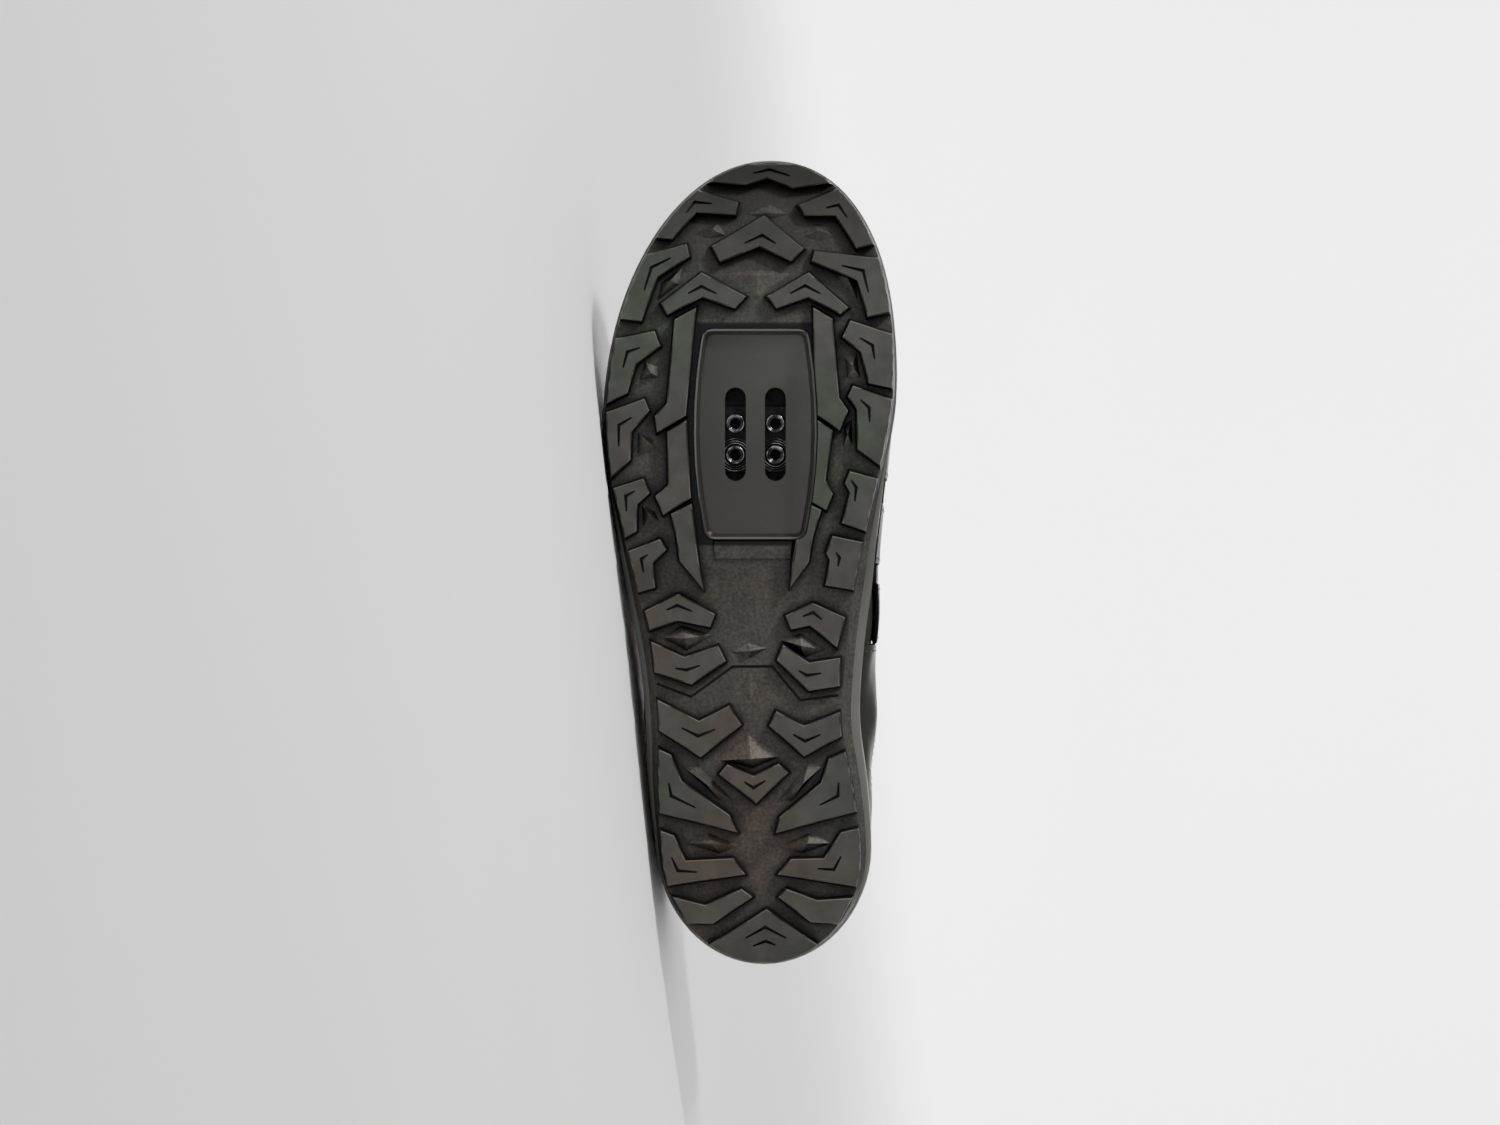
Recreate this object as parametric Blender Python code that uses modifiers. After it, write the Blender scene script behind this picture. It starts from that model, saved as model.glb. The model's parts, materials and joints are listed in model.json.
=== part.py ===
"""Right cycling shoe with a lugged sole and a recess for a two-bolt cleat, lying on its lateral side.

The shoe is modelled upright in its own frame: X from the heel's back to the toe, Y to the medial
side, Z up from the plane that the heel and forefoot lugs stand on. An empty then lays it down.
"""
import math
from collections import namedtuple

import bmesh
import bpy
from mathutils import Matrix, Vector

# Driving sizes in metres
SOLE_LENGTH = 0.282
BALL_WIDTH = 0.1012
SOLE_HEIGHT = 0.025
INSTEP_HEIGHT = 0.118
HEEL_ROUND = 0.040
TOE_ROUND = 0.085
TOE_FULLNESS = 2.1

LUG_HEIGHT = 0.0042
LUG_DRAFT = 0.0009
LUG_CHAMFER = 0.00035
LUG_EDGE_INSET = 0.0007
BASE_THICKNESS = 0.0030
ROOT = 0.0008
SIDE_BULGE = 0.0002
BED_ROUND = 0.0016
BED_INSET = 0.0011

UPPER_WALL = 0.0020
UPPER_HEEL_SETBACK = 0.0022
UPPER_TOE_SETBACK = 0.0040
OVERLAY_THICKNESS = 0.0014
HEEL_LEAN = 0.0165
TOE_LEAN = 0.0100
TONGUE_THICKNESS = 0.0042
TONGUE_RISE = 0.017
TONGUE_CURL = 0.006
STRAP_WIDTH = 0.021
STRAP_THICKNESS = 0.0018
INSOLE_THICKNESS = 0.0035

POCKET_LENGTH = 0.0742
POCKET_MIDDLE = 0.6575 * SOLE_LENGTH
POCKET_SIDE = -0.0016
POCKET_FRONT_WIDTH = 0.0384
POCKET_REAR_WIDTH = 0.0366
POCKET_BULGE = 0.0031
POCKET_CORNER = 0.0042
PLATE_FLANGE = 0.0030
PLATE_THICKNESS = 0.0026
TRAY_DEPTH = 0.0034
TRAY_RIM = 0.0007
TRAY_SLOPE = 0.0012
SLOT_SPACING = 0.0140
SLOT_SIDE = -0.0016
SLOT_LENGTH = 0.0328
SLOT_WIDTH = 0.0073
THREAD_ROW_SPACING = 0.0110
THREAD_ROW_MIDDLE = POCKET_MIDDLE - 0.0017
THREAD_BORE = 0.0042
NUT_THICKNESS = 0.0022
NUT_LENGTH = 0.0230
NUT_WIDTH = 0.0260
NUT_BOSS_HEIGHT = 0.0018

GAP = 0.0003
SOFT_GAP = 0.0005
TONGUE_GAP = 0.0008

# Sole outline: shares of the sole's length, then of the ball width
Edge = namedtuple("Edge", "along centre half flare_lateral flare_medial")
OUTLINE = (
    Edge(0.00, 0.014, 0.350, 0.000, 0.010),
    Edge(0.14, 0.004, 0.350, 0.010, 0.030),
    Edge(0.22, -0.015, 0.342, 0.025, 0.045),
    Edge(0.30, -0.036, 0.322, 0.035, 0.060),
    Edge(0.38, -0.040, 0.340, 0.035, 0.055),
    Edge(0.45, -0.048, 0.372, 0.030, 0.055),
    Edge(0.53, -0.053, 0.420, 0.015, 0.035),
    Edge(0.62, -0.052, 0.475, 0.005, 0.010),
    Edge(0.70, -0.036, 0.498, 0.000, 0.005),
    Edge(0.80, -0.015, 0.498, 0.000, 0.000),
    Edge(0.90, 0.012, 0.498, 0.000, 0.000),
    Edge(1.00, 0.040, 0.498, 0.000, 0.000),
)

# Side view of the sole: shares of the sole's length, then of the sole height
Height = namedtuple("Height", "along tread bed")
PROFILE = (
    Height(0.00, 0.16, 1.06),
    Height(0.05, 0.00, 1.03),
    Height(0.28, 0.00, 0.97),
    Height(0.36, 0.06, 0.88),
    Height(0.43, 0.14, 0.78),
    Height(0.51, 0.05, 0.67),
    Height(0.57, 0.00, 0.60),
    Height(0.74, 0.00, 0.56),
    Height(0.80, 0.06, 0.60),
    Height(0.86, 0.20, 0.72),
    Height(0.92, 0.42, 0.92),
    Height(1.00, 0.82, 1.26),
)

# Upper: shares of the upper's length, of the ball width, of the instep height, of a quarter turn
Section = namedtuple("Section", "along foot_centre foot_half belly_centre belly_half "
                                "belly_height crown_height crown_side fullness top")
UPPER = (
    Section(0.00, 0.015, 0.320, 0.015, 0.350, 0.39, 0.89, 0.015, 0.90, 0.44),
    Section(0.14, 0.008, 0.322, 0.012, 0.358, 0.37, 0.88, 0.010, 0.90, 0.34),
    Section(0.27, -0.025, 0.315, 0.004, 0.382, 0.35, 0.90, 0.000, 0.92, 0.24),
    Section(0.37, -0.035, 0.330, 0.000, 0.395, 0.33, 0.99, 0.000, 0.95, 0.32),
    Section(0.43, -0.038, 0.350, -0.005, 0.402, 0.32, 0.94, 0.005, 0.98, 0.52),
    Section(0.50, -0.042, 0.382, -0.020, 0.418, 0.30, 0.84, 0.012, 1.00, 0.62),
    Section(0.60, -0.045, 0.432, -0.036, 0.458, 0.27, 0.71, 0.025, 0.98, 0.73),
    Section(0.70, -0.035, 0.458, -0.034, 0.476, 0.26, 0.60, 0.040, 0.92, 0.81),
    Section(0.80, -0.014, 0.458, -0.014, 0.474, 0.26, 0.53, 0.055, 0.86, 0.90),
    Section(0.90, 0.013, 0.458, 0.013, 0.472, 0.29, 0.49, 0.060, 0.80, 1.00),
    Section(1.00, 0.040, 0.458, 0.040, 0.472, 0.34, 0.45, 0.045, 0.78, 1.00),
)
# Shares of the upper's length
THROAT_SHOULDER = 0.69
THROAT_FRONT = 0.735
TONGUE_FRONT = 0.775
TONGUE_TOP = 0.395
CAP_REAR = 0.790
CAP_SWEEP = 0.085
COUNTER_REACH = 0.235
HEEL_LEAN_REACH = 0.30
TOE_LEAN_REACH = 0.20
TOE_DROP_START = 0.50

# Shares of a quarter turn round the upper's section
OVERLAY_LOW = -0.80
COUNTER_DROP = 0.10
TONGUE_REACH = 0.40
TONGUE_FRONT_REACH = 0.27

# Other proportions of the upper, its overlays, tongue and straps
TOE_TIP_CROWN = 0.22
TOE_DROP_POWER = 0.75
HEEL_LEAN_POWER = 1.6
CAP_SWEEP_POWER = 1.4
COUNTER_FRONT_SHARE = 0.25
TONGUE_TOP_SHARE = 0.70
TONGUE_TOP_LIFT = 0.45
STRAP_END_SHARE = 0.72
STRAP_END_RUN = 0.11
MITRE_LIMIT = 0.45

# Straps: middle as a share of the upper's length, slant, and where each ends round the section
Strap = namedtuple("Strap", "name along slant medial_end lateral_end")
STRAPS = (
    Strap("strap_front", 0.635, 0.030, -0.55, 0.12),
    Strap("strap_middle", 0.530, 0.020, -0.55, 0.10),
    Strap("strap_top", 0.440, -0.010, -0.30, 0.16),
)

# Lugs: six corners round each face, as shares of the sole's length and of its half width there.
# An edge corner at 1 or -1 lies on the outline, and a run between two of them follows it.
Lug = namedtuple("Lug", "name a b c d e f")
OUTER_LUGS = (
    # front at the edge, tip front, tip rear, elbow, tail inside, tail at the edge
    Lug("toe_side_l", (.962, -1), (.947, -.34), (.931, -.32), (.934, -.75), (.900, -.83), (.902, -1)),
    Lug("toe_side_m", (.964, 1), (.943, .36), (.930, .41), (.930, .73), (.888, .82), (.894, 1)),
    Lug("shoulder_l", (.880, -1), (.894, -.68), (.878, -.61), (.852, -.81), (.797, -.83), (.800, -1)),
    Lug("shoulder_m", (.876, 1), (.885, .45), (.872, .42), (.848, .77), (.802, .82), (.808, 1)),
    Lug("ball_l", (.775, -1), (.785, -.72), (.766, -.66), (.744, -.81), (.708, -.85), (.695, -1)),
    Lug("ball_m", (.781, 1), (.798, .69), (.777, .63), (.759, .76), (.720, .82), (.714, 1)),
    Lug("tread_l", (.684, -1), (.701, -.73), (.686, -.69), (.660, -.81), (.625, -.83), (.604, -1)),
    Lug("tread_m", (.700, 1), (.717, .71), (.703, .68), (.688, .75), (.638, .80), (.618, 1)),
    Lug("waist_l", (.590, -1), (.602, -.75), (.584, -.72), (.570, -.83), (.537, -.88), (.529, -1)),
    Lug("waist_m", (.602, 1), (.611, .77), (.596, .75), (.585, .80), (.547, .78), (.537, 1)),
    Lug("shank_l", (.512, -1), (.527, -.70), (.514, -.66), (.497, -.80), (.467, -.82), (.461, -1)),
    Lug("shank_m", (.523, 1), (.531, .72), (.510, .69), (.501, .73), (.470, .72), (.464, 1)),
    Lug("heel_wing_l", (.188, -1), (.164, -.22), (.186, -.29), (.227, -.74), (.260, -.85), (.267, -1)),
    Lug("heel_wing_m", (.190, 1), (.163, .16), (.183, .21), (.226, .67), (.255, .79), (.264, 1)),
    Lug("heel_fork_l", (.098, -1), (.112, -.17), (.132, -.28), (.129, -.75), (.160, -.85), (.166, -1)),
    Lug("heel_fork_m", (.097, 1), (.112, .16), (.131, .29), (.132, .62), (.164, .80), (.169, 1)),
)
CHEVRON_LUGS = (
    # point, lateral arm's outer and inner corners, notch, medial arm's inner and outer corners
    Lug("front_centre", (.930, -.02), (.891, -.45), (.871, -.34), (.891, -.03), (.872, .25), (.888, .36)),
    Lug("front_l", (.858, -.47), (.819, -.72), (.805, -.65), (.827, -.42), (.813, -.16), (.828, -.09)),
    Lug("front_m", (.858, .39), (.828, .07), (.813, .15), (.827, .38), (.806, .62), (.814, .68)),
    Lug("arch_l", (.459, -.62), (.438, -.96), (.414, -.95), (.426, -.66), (.418, -.36), (.434, -.30)),
    Lug("arch_m", (.448, .62), (.432, .37), (.415, .43), (.420, .61), (.393, .89), (.430, .94)),
    Lug("saddle_l", (.347, -.60), (.362, -.97), (.400, -.96), (.381, -.65), (.395, -.30), (.376, -.23)),
    Lug("saddle_m", (.339, .63), (.377, .29), (.396, .35), (.374, .62), (.380, .93), (.345, .95)),
    Lug("heel_front_l", (.257, -.54), (.290, -.97), (.328, -.97), (.302, -.54), (.321, -.21), (.297, -.09)),
    Lug("heel_front_m", (.258, .54), (.296, .21), (.314, .29), (.296, .58), (.313, .97), (.283, .97)),
    Lug("heel_centre", (.200, -.01), (.236, -.36), (.248, -.27), (.234, -.01), (.249, .26), (.238, .35)),
    Lug("heel_rear_l", (.051, -.64), (.052, -.97), (.084, -.97), (.074, -.65), (.094, -.22), (.084, -.11)),
    Lug("heel_rear_m", (.053, .60), (.084, .17), (.094, .25), (.080, .60), (.083, .97), (.051, .97)),
)
RAIL_LUGS = (
    # inner front, outer front, start of the hook, hook's tip, hook's rear, inner rear
    Lug("rail_1_l", (.814, -.45), (.799, -.59), (.695, -.57), (.679, -.65), (.659, -.63), (.680, -.435)),
    Lug("rail_1_m", (.814, .42), (.800, .56), (.702, .62), (.686, .69), (.662, .65), (.683, .46)),
    Lug("rail_2_l", (.674, -.43), (.660, -.56), (.594, -.57), (.580, -.68), (.557, -.64), (.578, -.41)),
    Lug("rail_2_m", (.678, .45), (.662, .60), (.600, .60), (.583, .67), (.563, .64), (.580, .44)),
    Lug("rail_3_l", (.571, -.41), (.558, -.58), (.530, -.56), (.500, -.56), (.463, -.38), (.500, -.40)),
    Lug("rail_3_m", (.574, .45), (.563, .60), (.530, .56), (.499, .55), (.465, .40), (.499, .41)),
)

# Pointed studs between the lugs: four corners, the peak, and its share of the lug height
Stud = namedtuple("Stud", "lateral front medial rear peak rise")
STUDS = (
    Stud((.405, -.90), (.424, -.64), (.409, -.27), (.385, -.62), (.404, -.62), .85),
    Stud((.404, .27), (.414, .52), (.388, .84), (.377, .58), (.395, .53), .85),
    Stud((.387, -.22), (.401, .00), (.393, .24), (.376, .00), (.388, .02), .65),
    Stud((.252, -.42), (.291, -.02), (.258, .38), (.240, -.02), (.255, -.02), .80),
    Stud((.752, -.77), (.742, -.64), (.726, -.62), (.722, -.80), (.733, -.70), .60),
    Stud((.664, -.79), (.652, -.66), (.634, -.63), (.630, -.80), (.645, -.70), .60),
    Stud((.574, -.81), (.563, -.69), (.548, -.66), (.540, -.84), (.555, -.75), .60),
    Stud((.756, .63), (.764, .74), (.722, .78), (.722, .66), (.742, .70), .60),
    Stud((.672, .67), (.682, .73), (.640, .77), (.636, .69), (.657, .71), .60),
    Stud((.250, -.78), (.256, -.62), (.196, -.16), (.198, -.34), (.224, -.50), .75),
    Stud((.196, .13), (.256, .60), (.250, .76), (.198, .32), (.224, .48), .75),
    Stud((.150, -.80), (.166, -.52), (.146, -.14), (.134, -.40), (.150, -.48), .75),
    Stud((.146, .13), (.166, .50), (.150, .76), (.134, .38), (.150, .46), .75),
    Stud((.932, -.30), (.951, .02), (.932, .34), (.920, .02), (.934, .02), .35),
    Stud((.906, -.70), (.924, -.46), (.902, -.30), (.897, -.52), (.913, -.50), .50),
    Stud((.902, .30), (.924, .48), (.902, .72), (.893, .50), (.911, .52), .50),
    Stud((.858, -.36), (.866, -.02), (.858, .32), (.812, -.01), (.854, -.02), .60),
    Stud((.846, -.79), (.873, -.62), (.842, -.60), (.812, -.78), (.848, -.70), .50),
    Stud((.846, .62), (.870, .56), (.848, .78), (.812, .78), (.850, .70), .50),
    Stud((.340, -.12), (.372, .01), (.340, .13), (.318, .01), (.350, .01), .45),
)

# Low strip across the base behind the recess: four corners and its share of the lug height
STRIP = ((.525, -.26), (.525, .40), (.5025, .40), (.5025, -.26))
STRIP_RISE = 0.18


def clear_scene():
    """Remove whatever the file starts with."""
    for item in list(bpy.data.objects):
        bpy.data.objects.remove(item, do_unlink=True)


def between(table, along, column):
    """Read a column of a table along a smooth curve through its rows."""
    last = len(table) - 1
    if along <= table[0].along:
        return getattr(table[0], column)
    if along >= table[last].along:
        return getattr(table[last], column)
    low = max(i for i in range(last) if table[i].along <= along)

    def slope(i):
        # Level at a row that is higher or lower than both its neighbours, so that flats stay flat
        before, after = table[max(i - 1, 0)], table[min(i + 1, last)]
        here = getattr(table[i], column)
        fall, rise = here - getattr(before, column), getattr(after, column) - here
        if 0 < i < last and fall * rise <= 0:
            return 0.0
        return (fall + rise) / (after.along - before.along)

    start, end = table[low], table[low + 1]
    span = end.along - start.along
    t = (along - start.along) / span
    return ((2 * t**3 - 3 * t**2 + 1) * getattr(start, column) + (t**3 - 2 * t**2 + t) * slope(low) * span
            + (3 * t**2 - 2 * t**3) * getattr(end, column) + (t**3 - t**2) * slope(low + 1) * span)


def end_rounding(along):
    """Share of the full width that is left near the heel's back and the toe's tip."""
    heel, toe = HEEL_ROUND / SOLE_LENGTH, 1 - TOE_ROUND / SOLE_LENGTH
    if along < heel:
        return math.sqrt(max(0.0, 1 - ((heel - along) / heel) ** 2))
    if along > toe:
        share = min(1.0, (along - toe) / (1 - toe))
        return (1 - share ** TOE_FULLNESS) ** (1 / TOE_FULLNESS)
    return 1.0


def stations(heel_steps, middle_steps, toe_steps):
    """Places along the shoe, closer together towards its round ends."""
    heel, toe = HEEL_ROUND / SOLE_LENGTH, 1 - TOE_ROUND / SOLE_LENGTH
    quarter = math.pi / 2
    places = [heel * (1 - math.cos(quarter * i / heel_steps)) for i in range(heel_steps)]
    places += [heel + (toe - heel) * i / middle_steps for i in range(middle_steps)]
    places += [toe + (1 - toe) * math.sin(quarter * i / toe_steps) for i in range(toe_steps + 1)]
    return places


def tread_height(along):
    return SOLE_HEIGHT * between(PROFILE, along, "tread")


def bed_height(along):
    return SOLE_HEIGHT * between(PROFILE, along, "bed")


def sole_side(along, across, flare=0.0):
    """Distance to the medial side of a share of the sole's half width, with the side wall's flare."""
    row_flare = "flare_medial" if across > 0 else "flare_lateral"
    half = between(OUTLINE, along, "half") + flare * between(OUTLINE, along, row_flare)
    return BALL_WIDTH * (between(OUTLINE, along, "centre") + across * half * end_rounding(along))


def finish(mesh_object, collection, colour, roughness, metallic=0.0):
    """Give an object its collection and its own material."""
    collection.objects.link(mesh_object)
    material = bpy.data.materials.new(mesh_object.name)
    material.use_nodes = True
    shader = material.node_tree.nodes["Principled BSDF"]
    shader.inputs["Base Color"].default_value = (*colour, 1.0)
    shader.inputs["Roughness"].default_value = roughness
    shader.inputs["Metallic"].default_value = metallic
    mesh_object.data.materials.append(material)
    return mesh_object


def mesh_object(name, shape):
    """Turn a bmesh into an object."""
    mesh = bpy.data.meshes.new(name)
    shape.to_mesh(mesh)
    shape.free()
    return bpy.data.objects.new(name, mesh)


def loft(name, rings):
    """Join closed rings of points; a ring that has shrunk to a line closes the form by itself."""
    shape = bmesh.new()
    grid = [[shape.verts.new(point) for point in ring] for ring in rings]
    count = len(rings[0])
    for low, high in zip(grid, grid[1:]):
        for i in range(count):
            j = (i + 1) % count
            shape.faces.new((low[i], low[j], high[j], high[i]))
    for ring in (grid[0], grid[-1]):
        shape.faces.new(ring)
    bmesh.ops.remove_doubles(shape, verts=shape.verts, dist=1e-6)
    bmesh.ops.dissolve_degenerate(shape, dist=1e-6, edges=shape.edges)
    bmesh.ops.recalc_face_normals(shape, faces=shape.faces)
    return mesh_object(name, shape)


def sole_layer(name, places, levels):
    """A layer of the sole. Each level is a height function, an inset and a share of the flare."""
    rings = []
    for along in places:
        ring = []
        for side, order in ((-1, reversed(levels)), (1, levels)):
            for height, inset, flare in order:
                # The inset also draws the round ends in
                x = inset + along * (SOLE_LENGTH - 2 * inset)
                centre = sole_side(along, 0)
                edge = sole_side(along, side, flare)
                reach = max(0.0, abs(edge - centre) - inset * end_rounding(along))
                ring.append((x, centre + side * reach, height(x / SOLE_LENGTH)))
        rings.append(ring)
    return loft(name, rings)


def prism(name, outline, bottom, top):
    """An upright prism on a flat outline."""
    return loft(name, [[(x, y, z) for x, y in outline] for z in (bottom, top)])


def cut(target, tool, operation="DIFFERENCE"):
    modifier = target.modifiers.new(tool.name, "BOOLEAN")
    modifier.operation = operation
    modifier.object = tool


def as_tool(tool, tools):
    """Keep a cutter out of the picture."""
    tools.objects.link(tool)
    tool.hide_render = True
    tool.display_type = "WIRE"
    return tool


def grown(outline, distance):
    """Move each side of an anticlockwise outline outwards."""
    result = []
    for i, (x, y) in enumerate(outline):
        before = Vector((x, y)) - Vector(outline[i - 1])
        after = Vector(outline[(i + 1) % len(outline)]) - Vector((x, y))
        one = Vector((before.y, -before.x)).normalized()
        two = Vector((after.y, -after.x)).normalized()
        reach = max(MITRE_LIMIT, 1 + one.dot(two))
        result.append((x + distance * (one.x + two.x) / reach, y + distance * (one.y + two.y) / reach))
    return result


def anticlockwise(points):
    area = sum(a[0] * b[1] - b[0] * a[1] for a, b in zip(points, points[1:] + points[:1]))
    return points if area > 0 else points[::-1]


def corners_of(lug):
    """A lug's outline in metres, its run along the sole's edge following the edge."""
    points = []
    shares = lug[1:]
    for i, (along, across) in enumerate(shares):
        points.append((along, across))
        next_along, next_across = shares[(i + 1) % len(shares)]
        if abs(across) == 1 and across == next_across:
            points += [(along + (next_along - along) * k / 3, across) for k in (1, 2)]
    return points


def block(shape, shares, rise=1.0):
    """Add one lug: its face on the tread surface, its root in the base sheet, and sloping sides."""
    sunk = LUG_HEIGHT * (1 - rise)
    face = []
    for along, across in shares:
        side = sole_side(along, across)
        if abs(across) == 1:
            side -= math.copysign(LUG_EDGE_INSET, across)
        face.append((along * SOLE_LENGTH, side))
    face = anticlockwise(face)
    root = []
    for x, y in grown(face, LUG_DRAFT):
        x = min(max(x, LUG_EDGE_INSET), SOLE_LENGTH - LUG_EDGE_INSET)
        along = x / SOLE_LENGTH
        low, high = sole_side(along, -1), sole_side(along, 1)
        root.append((x, min(max(y, low + LUG_EDGE_INSET / 2), high - LUG_EDGE_INSET / 2)))

    def layer(outline, depth):
        return [shape.verts.new((x, y, tread_height(x / SOLE_LENGTH) + depth)) for x, y in outline]

    layers = [layer(grown(face, -LUG_CHAMFER), sunk), layer(face, sunk + LUG_CHAMFER),
              layer(root, LUG_HEIGHT + ROOT)]
    shape.faces.new(layers[0][::-1])
    shape.faces.new(layers[-1])
    for lower, upper in zip(layers, layers[1:]):
        for i in range(len(face)):
            j = (i + 1) % len(face)
            shape.faces.new((lower[i], lower[j], upper[j], upper[i]))


def toe_crescent():
    """The toe lug: the outline ahead of a zigzag rear edge."""
    turn = [math.radians(-78 + 156 * i / 12) for i in range(13)]
    toe = 1 - TOE_ROUND / SOLE_LENGTH
    tip = [toe + (1 - toe) * math.cos(t) ** 0.30 for t in turn]
    front = [(min(a, 0.996), math.copysign(1, t)) for a, t in zip(tip, turn) if t]
    front = [(a, v) for a, v in front if a > 0.978]
    rear = [(.972, .94), (.965, .35), (.978, -.04), (.969, -.33), (.973, -.94)]
    return front + rear


def heel_cap():
    """The rearmost lug: the outline behind a shallow roof."""
    heel = HEEL_ROUND / SOLE_LENGTH
    medial = [(heel * (1 - math.cos(math.radians(d))), 1) for d in (34, 26, 17, 8)]
    lateral = [(along, -1) for along, _ in reversed(medial)]
    return [(.069, .04)] + medial + lateral


def studs(shape):
    for row in STUDS:
        plan = [(along * SOLE_LENGTH, sole_side(along, across)) for along, across in row[:4]]
        plan = anticlockwise(plan)
        along, across = row.peak
        x, y = along * SOLE_LENGTH, sole_side(along, across)
        level = tread_height(along)
        peak = shape.verts.new((x, y, level + LUG_HEIGHT * (1 - row.rise)))
        foot = [shape.verts.new((a, b, tread_height(a / SOLE_LENGTH) + LUG_HEIGHT + ROOT)) for a, b in plan]
        shape.faces.new(foot)
        for i in range(4):
            shape.faces.new((foot[(i + 1) % 4], foot[i], peak))


def pocket_outline(growth=0.0):
    """Barrel-sided rectangle with round corners: the cleat's recess."""
    reach = POCKET_LENGTH / 2 - POCKET_CORNER
    front, rear = POCKET_FRONT_WIDTH / 2, POCKET_REAR_WIDTH / 2
    half = []
    for degrees in (180, 150, 120):
        turn = math.radians(degrees)
        half.append((-reach + POCKET_CORNER * math.cos(turn), rear - POCKET_CORNER * (1 - math.sin(turn))))
    for share in spread(-1, 1, 6):
        width = rear + (front - rear) * (1 + share) / 2
        half.append((share * reach, width + POCKET_BULGE * (1 - share * share)))
    for degrees in (60, 30, 0):
        turn = math.radians(degrees)
        half.append((reach + POCKET_CORNER * math.cos(turn), front - POCKET_CORNER * (1 - math.sin(turn))))
    outline = half + [(x, -y) for x, y in reversed(half)]
    placed = [(POCKET_MIDDLE + x, POCKET_SIDE + y) for x, y in outline]
    return grown(anticlockwise(placed), growth)


def slot_outline(side, growth=0.0):
    """A slot with round ends."""
    radius = SLOT_WIDTH / 2 + growth
    reach = (SLOT_LENGTH - SLOT_WIDTH) / 2
    centre = SLOT_SIDE + side * SLOT_SPACING / 2
    points = []
    for end in (-1, 1):
        for i in range(9):
            a = math.radians(-90 + 180 * i / 8)
            points.append((POCKET_MIDDLE + end * (reach + radius * math.cos(a)),
                           centre + end * radius * math.sin(a)))
    return anticlockwise(points)


def ring_outline(x, y, radius, sides=16):
    return [(x + radius * math.cos(2 * math.pi * i / sides), y + radius * math.sin(2 * math.pi * i / sides))
            for i in range(sides)]


def plate_bottom():
    return LUG_HEIGHT + BASE_THICKNESS + GAP


def make_outsole(part, tools):
    places = stations(9, 20, 15)
    base_levels = (
        (lambda a: tread_height(a) + LUG_HEIGHT, LUG_EDGE_INSET / 2, 0.0),
        (lambda a: tread_height(a) + LUG_HEIGHT + BASE_THICKNESS / 2, 0.0, 0.2),
        (lambda a: tread_height(a) + LUG_HEIGHT + BASE_THICKNESS, 0.0, 0.5),
    )
    outsole = sole_layer("outsole", places, base_levels)
    shape = bmesh.new()
    for lug in OUTER_LUGS + CHEVRON_LUGS + RAIL_LUGS:
        block(shape, corners_of(lug))
    block(shape, toe_crescent())
    block(shape, heel_cap())
    block(shape, STRIP, STRIP_RISE)
    studs(shape)
    bmesh.ops.recalc_face_normals(shape, faces=shape.faces)
    lugs = as_tool(mesh_object("lugs", shape), tools)
    cut(outsole, lugs, "UNION")
    outsole.modifiers[-1].use_self = True
    pocket = as_tool(prism("pocket", pocket_outline(), -LUG_HEIGHT, plate_bottom() + ROOT), tools)
    cut(outsole, pocket)
    flange = pocket_outline(PLATE_FLANGE + GAP)
    over = as_tool(prism("over_plate", flange, plate_bottom() - GAP, 2 * SOLE_HEIGHT), tools)
    cut(outsole, over)
    return finish(outsole, part, (0.055, 0.052, 0.048), 0.72)


def make_midsole(part, tools):
    base_top = LUG_HEIGHT + BASE_THICKNESS
    levels = (
        (lambda a: tread_height(a) + base_top + GAP, 0.0, 0.5),
        (lambda a: (tread_height(a) + base_top) * 0.7 + bed_height(a) * 0.3, -SIDE_BULGE, 1.0),
        (lambda a: bed_height(a) - BED_ROUND, 0.0, 0.9),
        (bed_height, BED_INSET, 0.6),
    )
    midsole = sole_layer("midsole", stations(9, 20, 15), levels)
    seat = as_tool(prism("plate_seat", pocket_outline(PLATE_FLANGE + GAP), plate_bottom() - GAP,
                         plate_bottom() + PLATE_THICKNESS + GAP), tools)
    cut(midsole, seat)
    room = as_tool(prism("nut_room", nut_outline(GAP), plate_bottom(), SOLE_HEIGHT), tools)
    cut(midsole, room)
    return finish(midsole, part, (0.16, 0.155, 0.15), 0.6)


def nut_outline(growth=0.0):
    half_x, half_y = NUT_LENGTH / 2, NUT_WIDTH / 2
    corners = ((-half_x, -half_y), (half_x, -half_y), (half_x, half_y), (-half_x, half_y))
    return grown([(THREAD_ROW_MIDDLE + x, SLOT_SIDE + y) for x, y in corners], growth)


def make_cleat_plate(part, tools):
    top = plate_bottom() + PLATE_THICKNESS
    plate = prism("cleat_plate", pocket_outline(PLATE_FLANGE), plate_bottom(), top)
    rim = plate_bottom() - TRAY_DEPTH
    tray = prism("tray", pocket_outline(-GAP), rim, plate_bottom() + ROOT)
    cut(plate, as_tool(tray, tools), "UNION")
    hollow = loft("tray_hollow", [
        [(x, y, rim - ROOT) for x, y in pocket_outline(-GAP - TRAY_RIM)],
        [(x, y, rim) for x, y in pocket_outline(-GAP - TRAY_RIM)],
        [(x, y, plate_bottom()) for x, y in pocket_outline(-GAP - TRAY_RIM - TRAY_SLOPE)],
    ])
    cut(plate, as_tool(hollow, tools))
    for side in (-1, 1):
        name = "slot_medial" if side == 1 else "slot_lateral"
        slot = as_tool(prism(name, slot_outline(side), plate_bottom() - LUG_HEIGHT, top + ROOT), tools)
        cut(plate, slot)
    return finish(plate, part, (0.045, 0.045, 0.045), 0.35)


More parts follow.
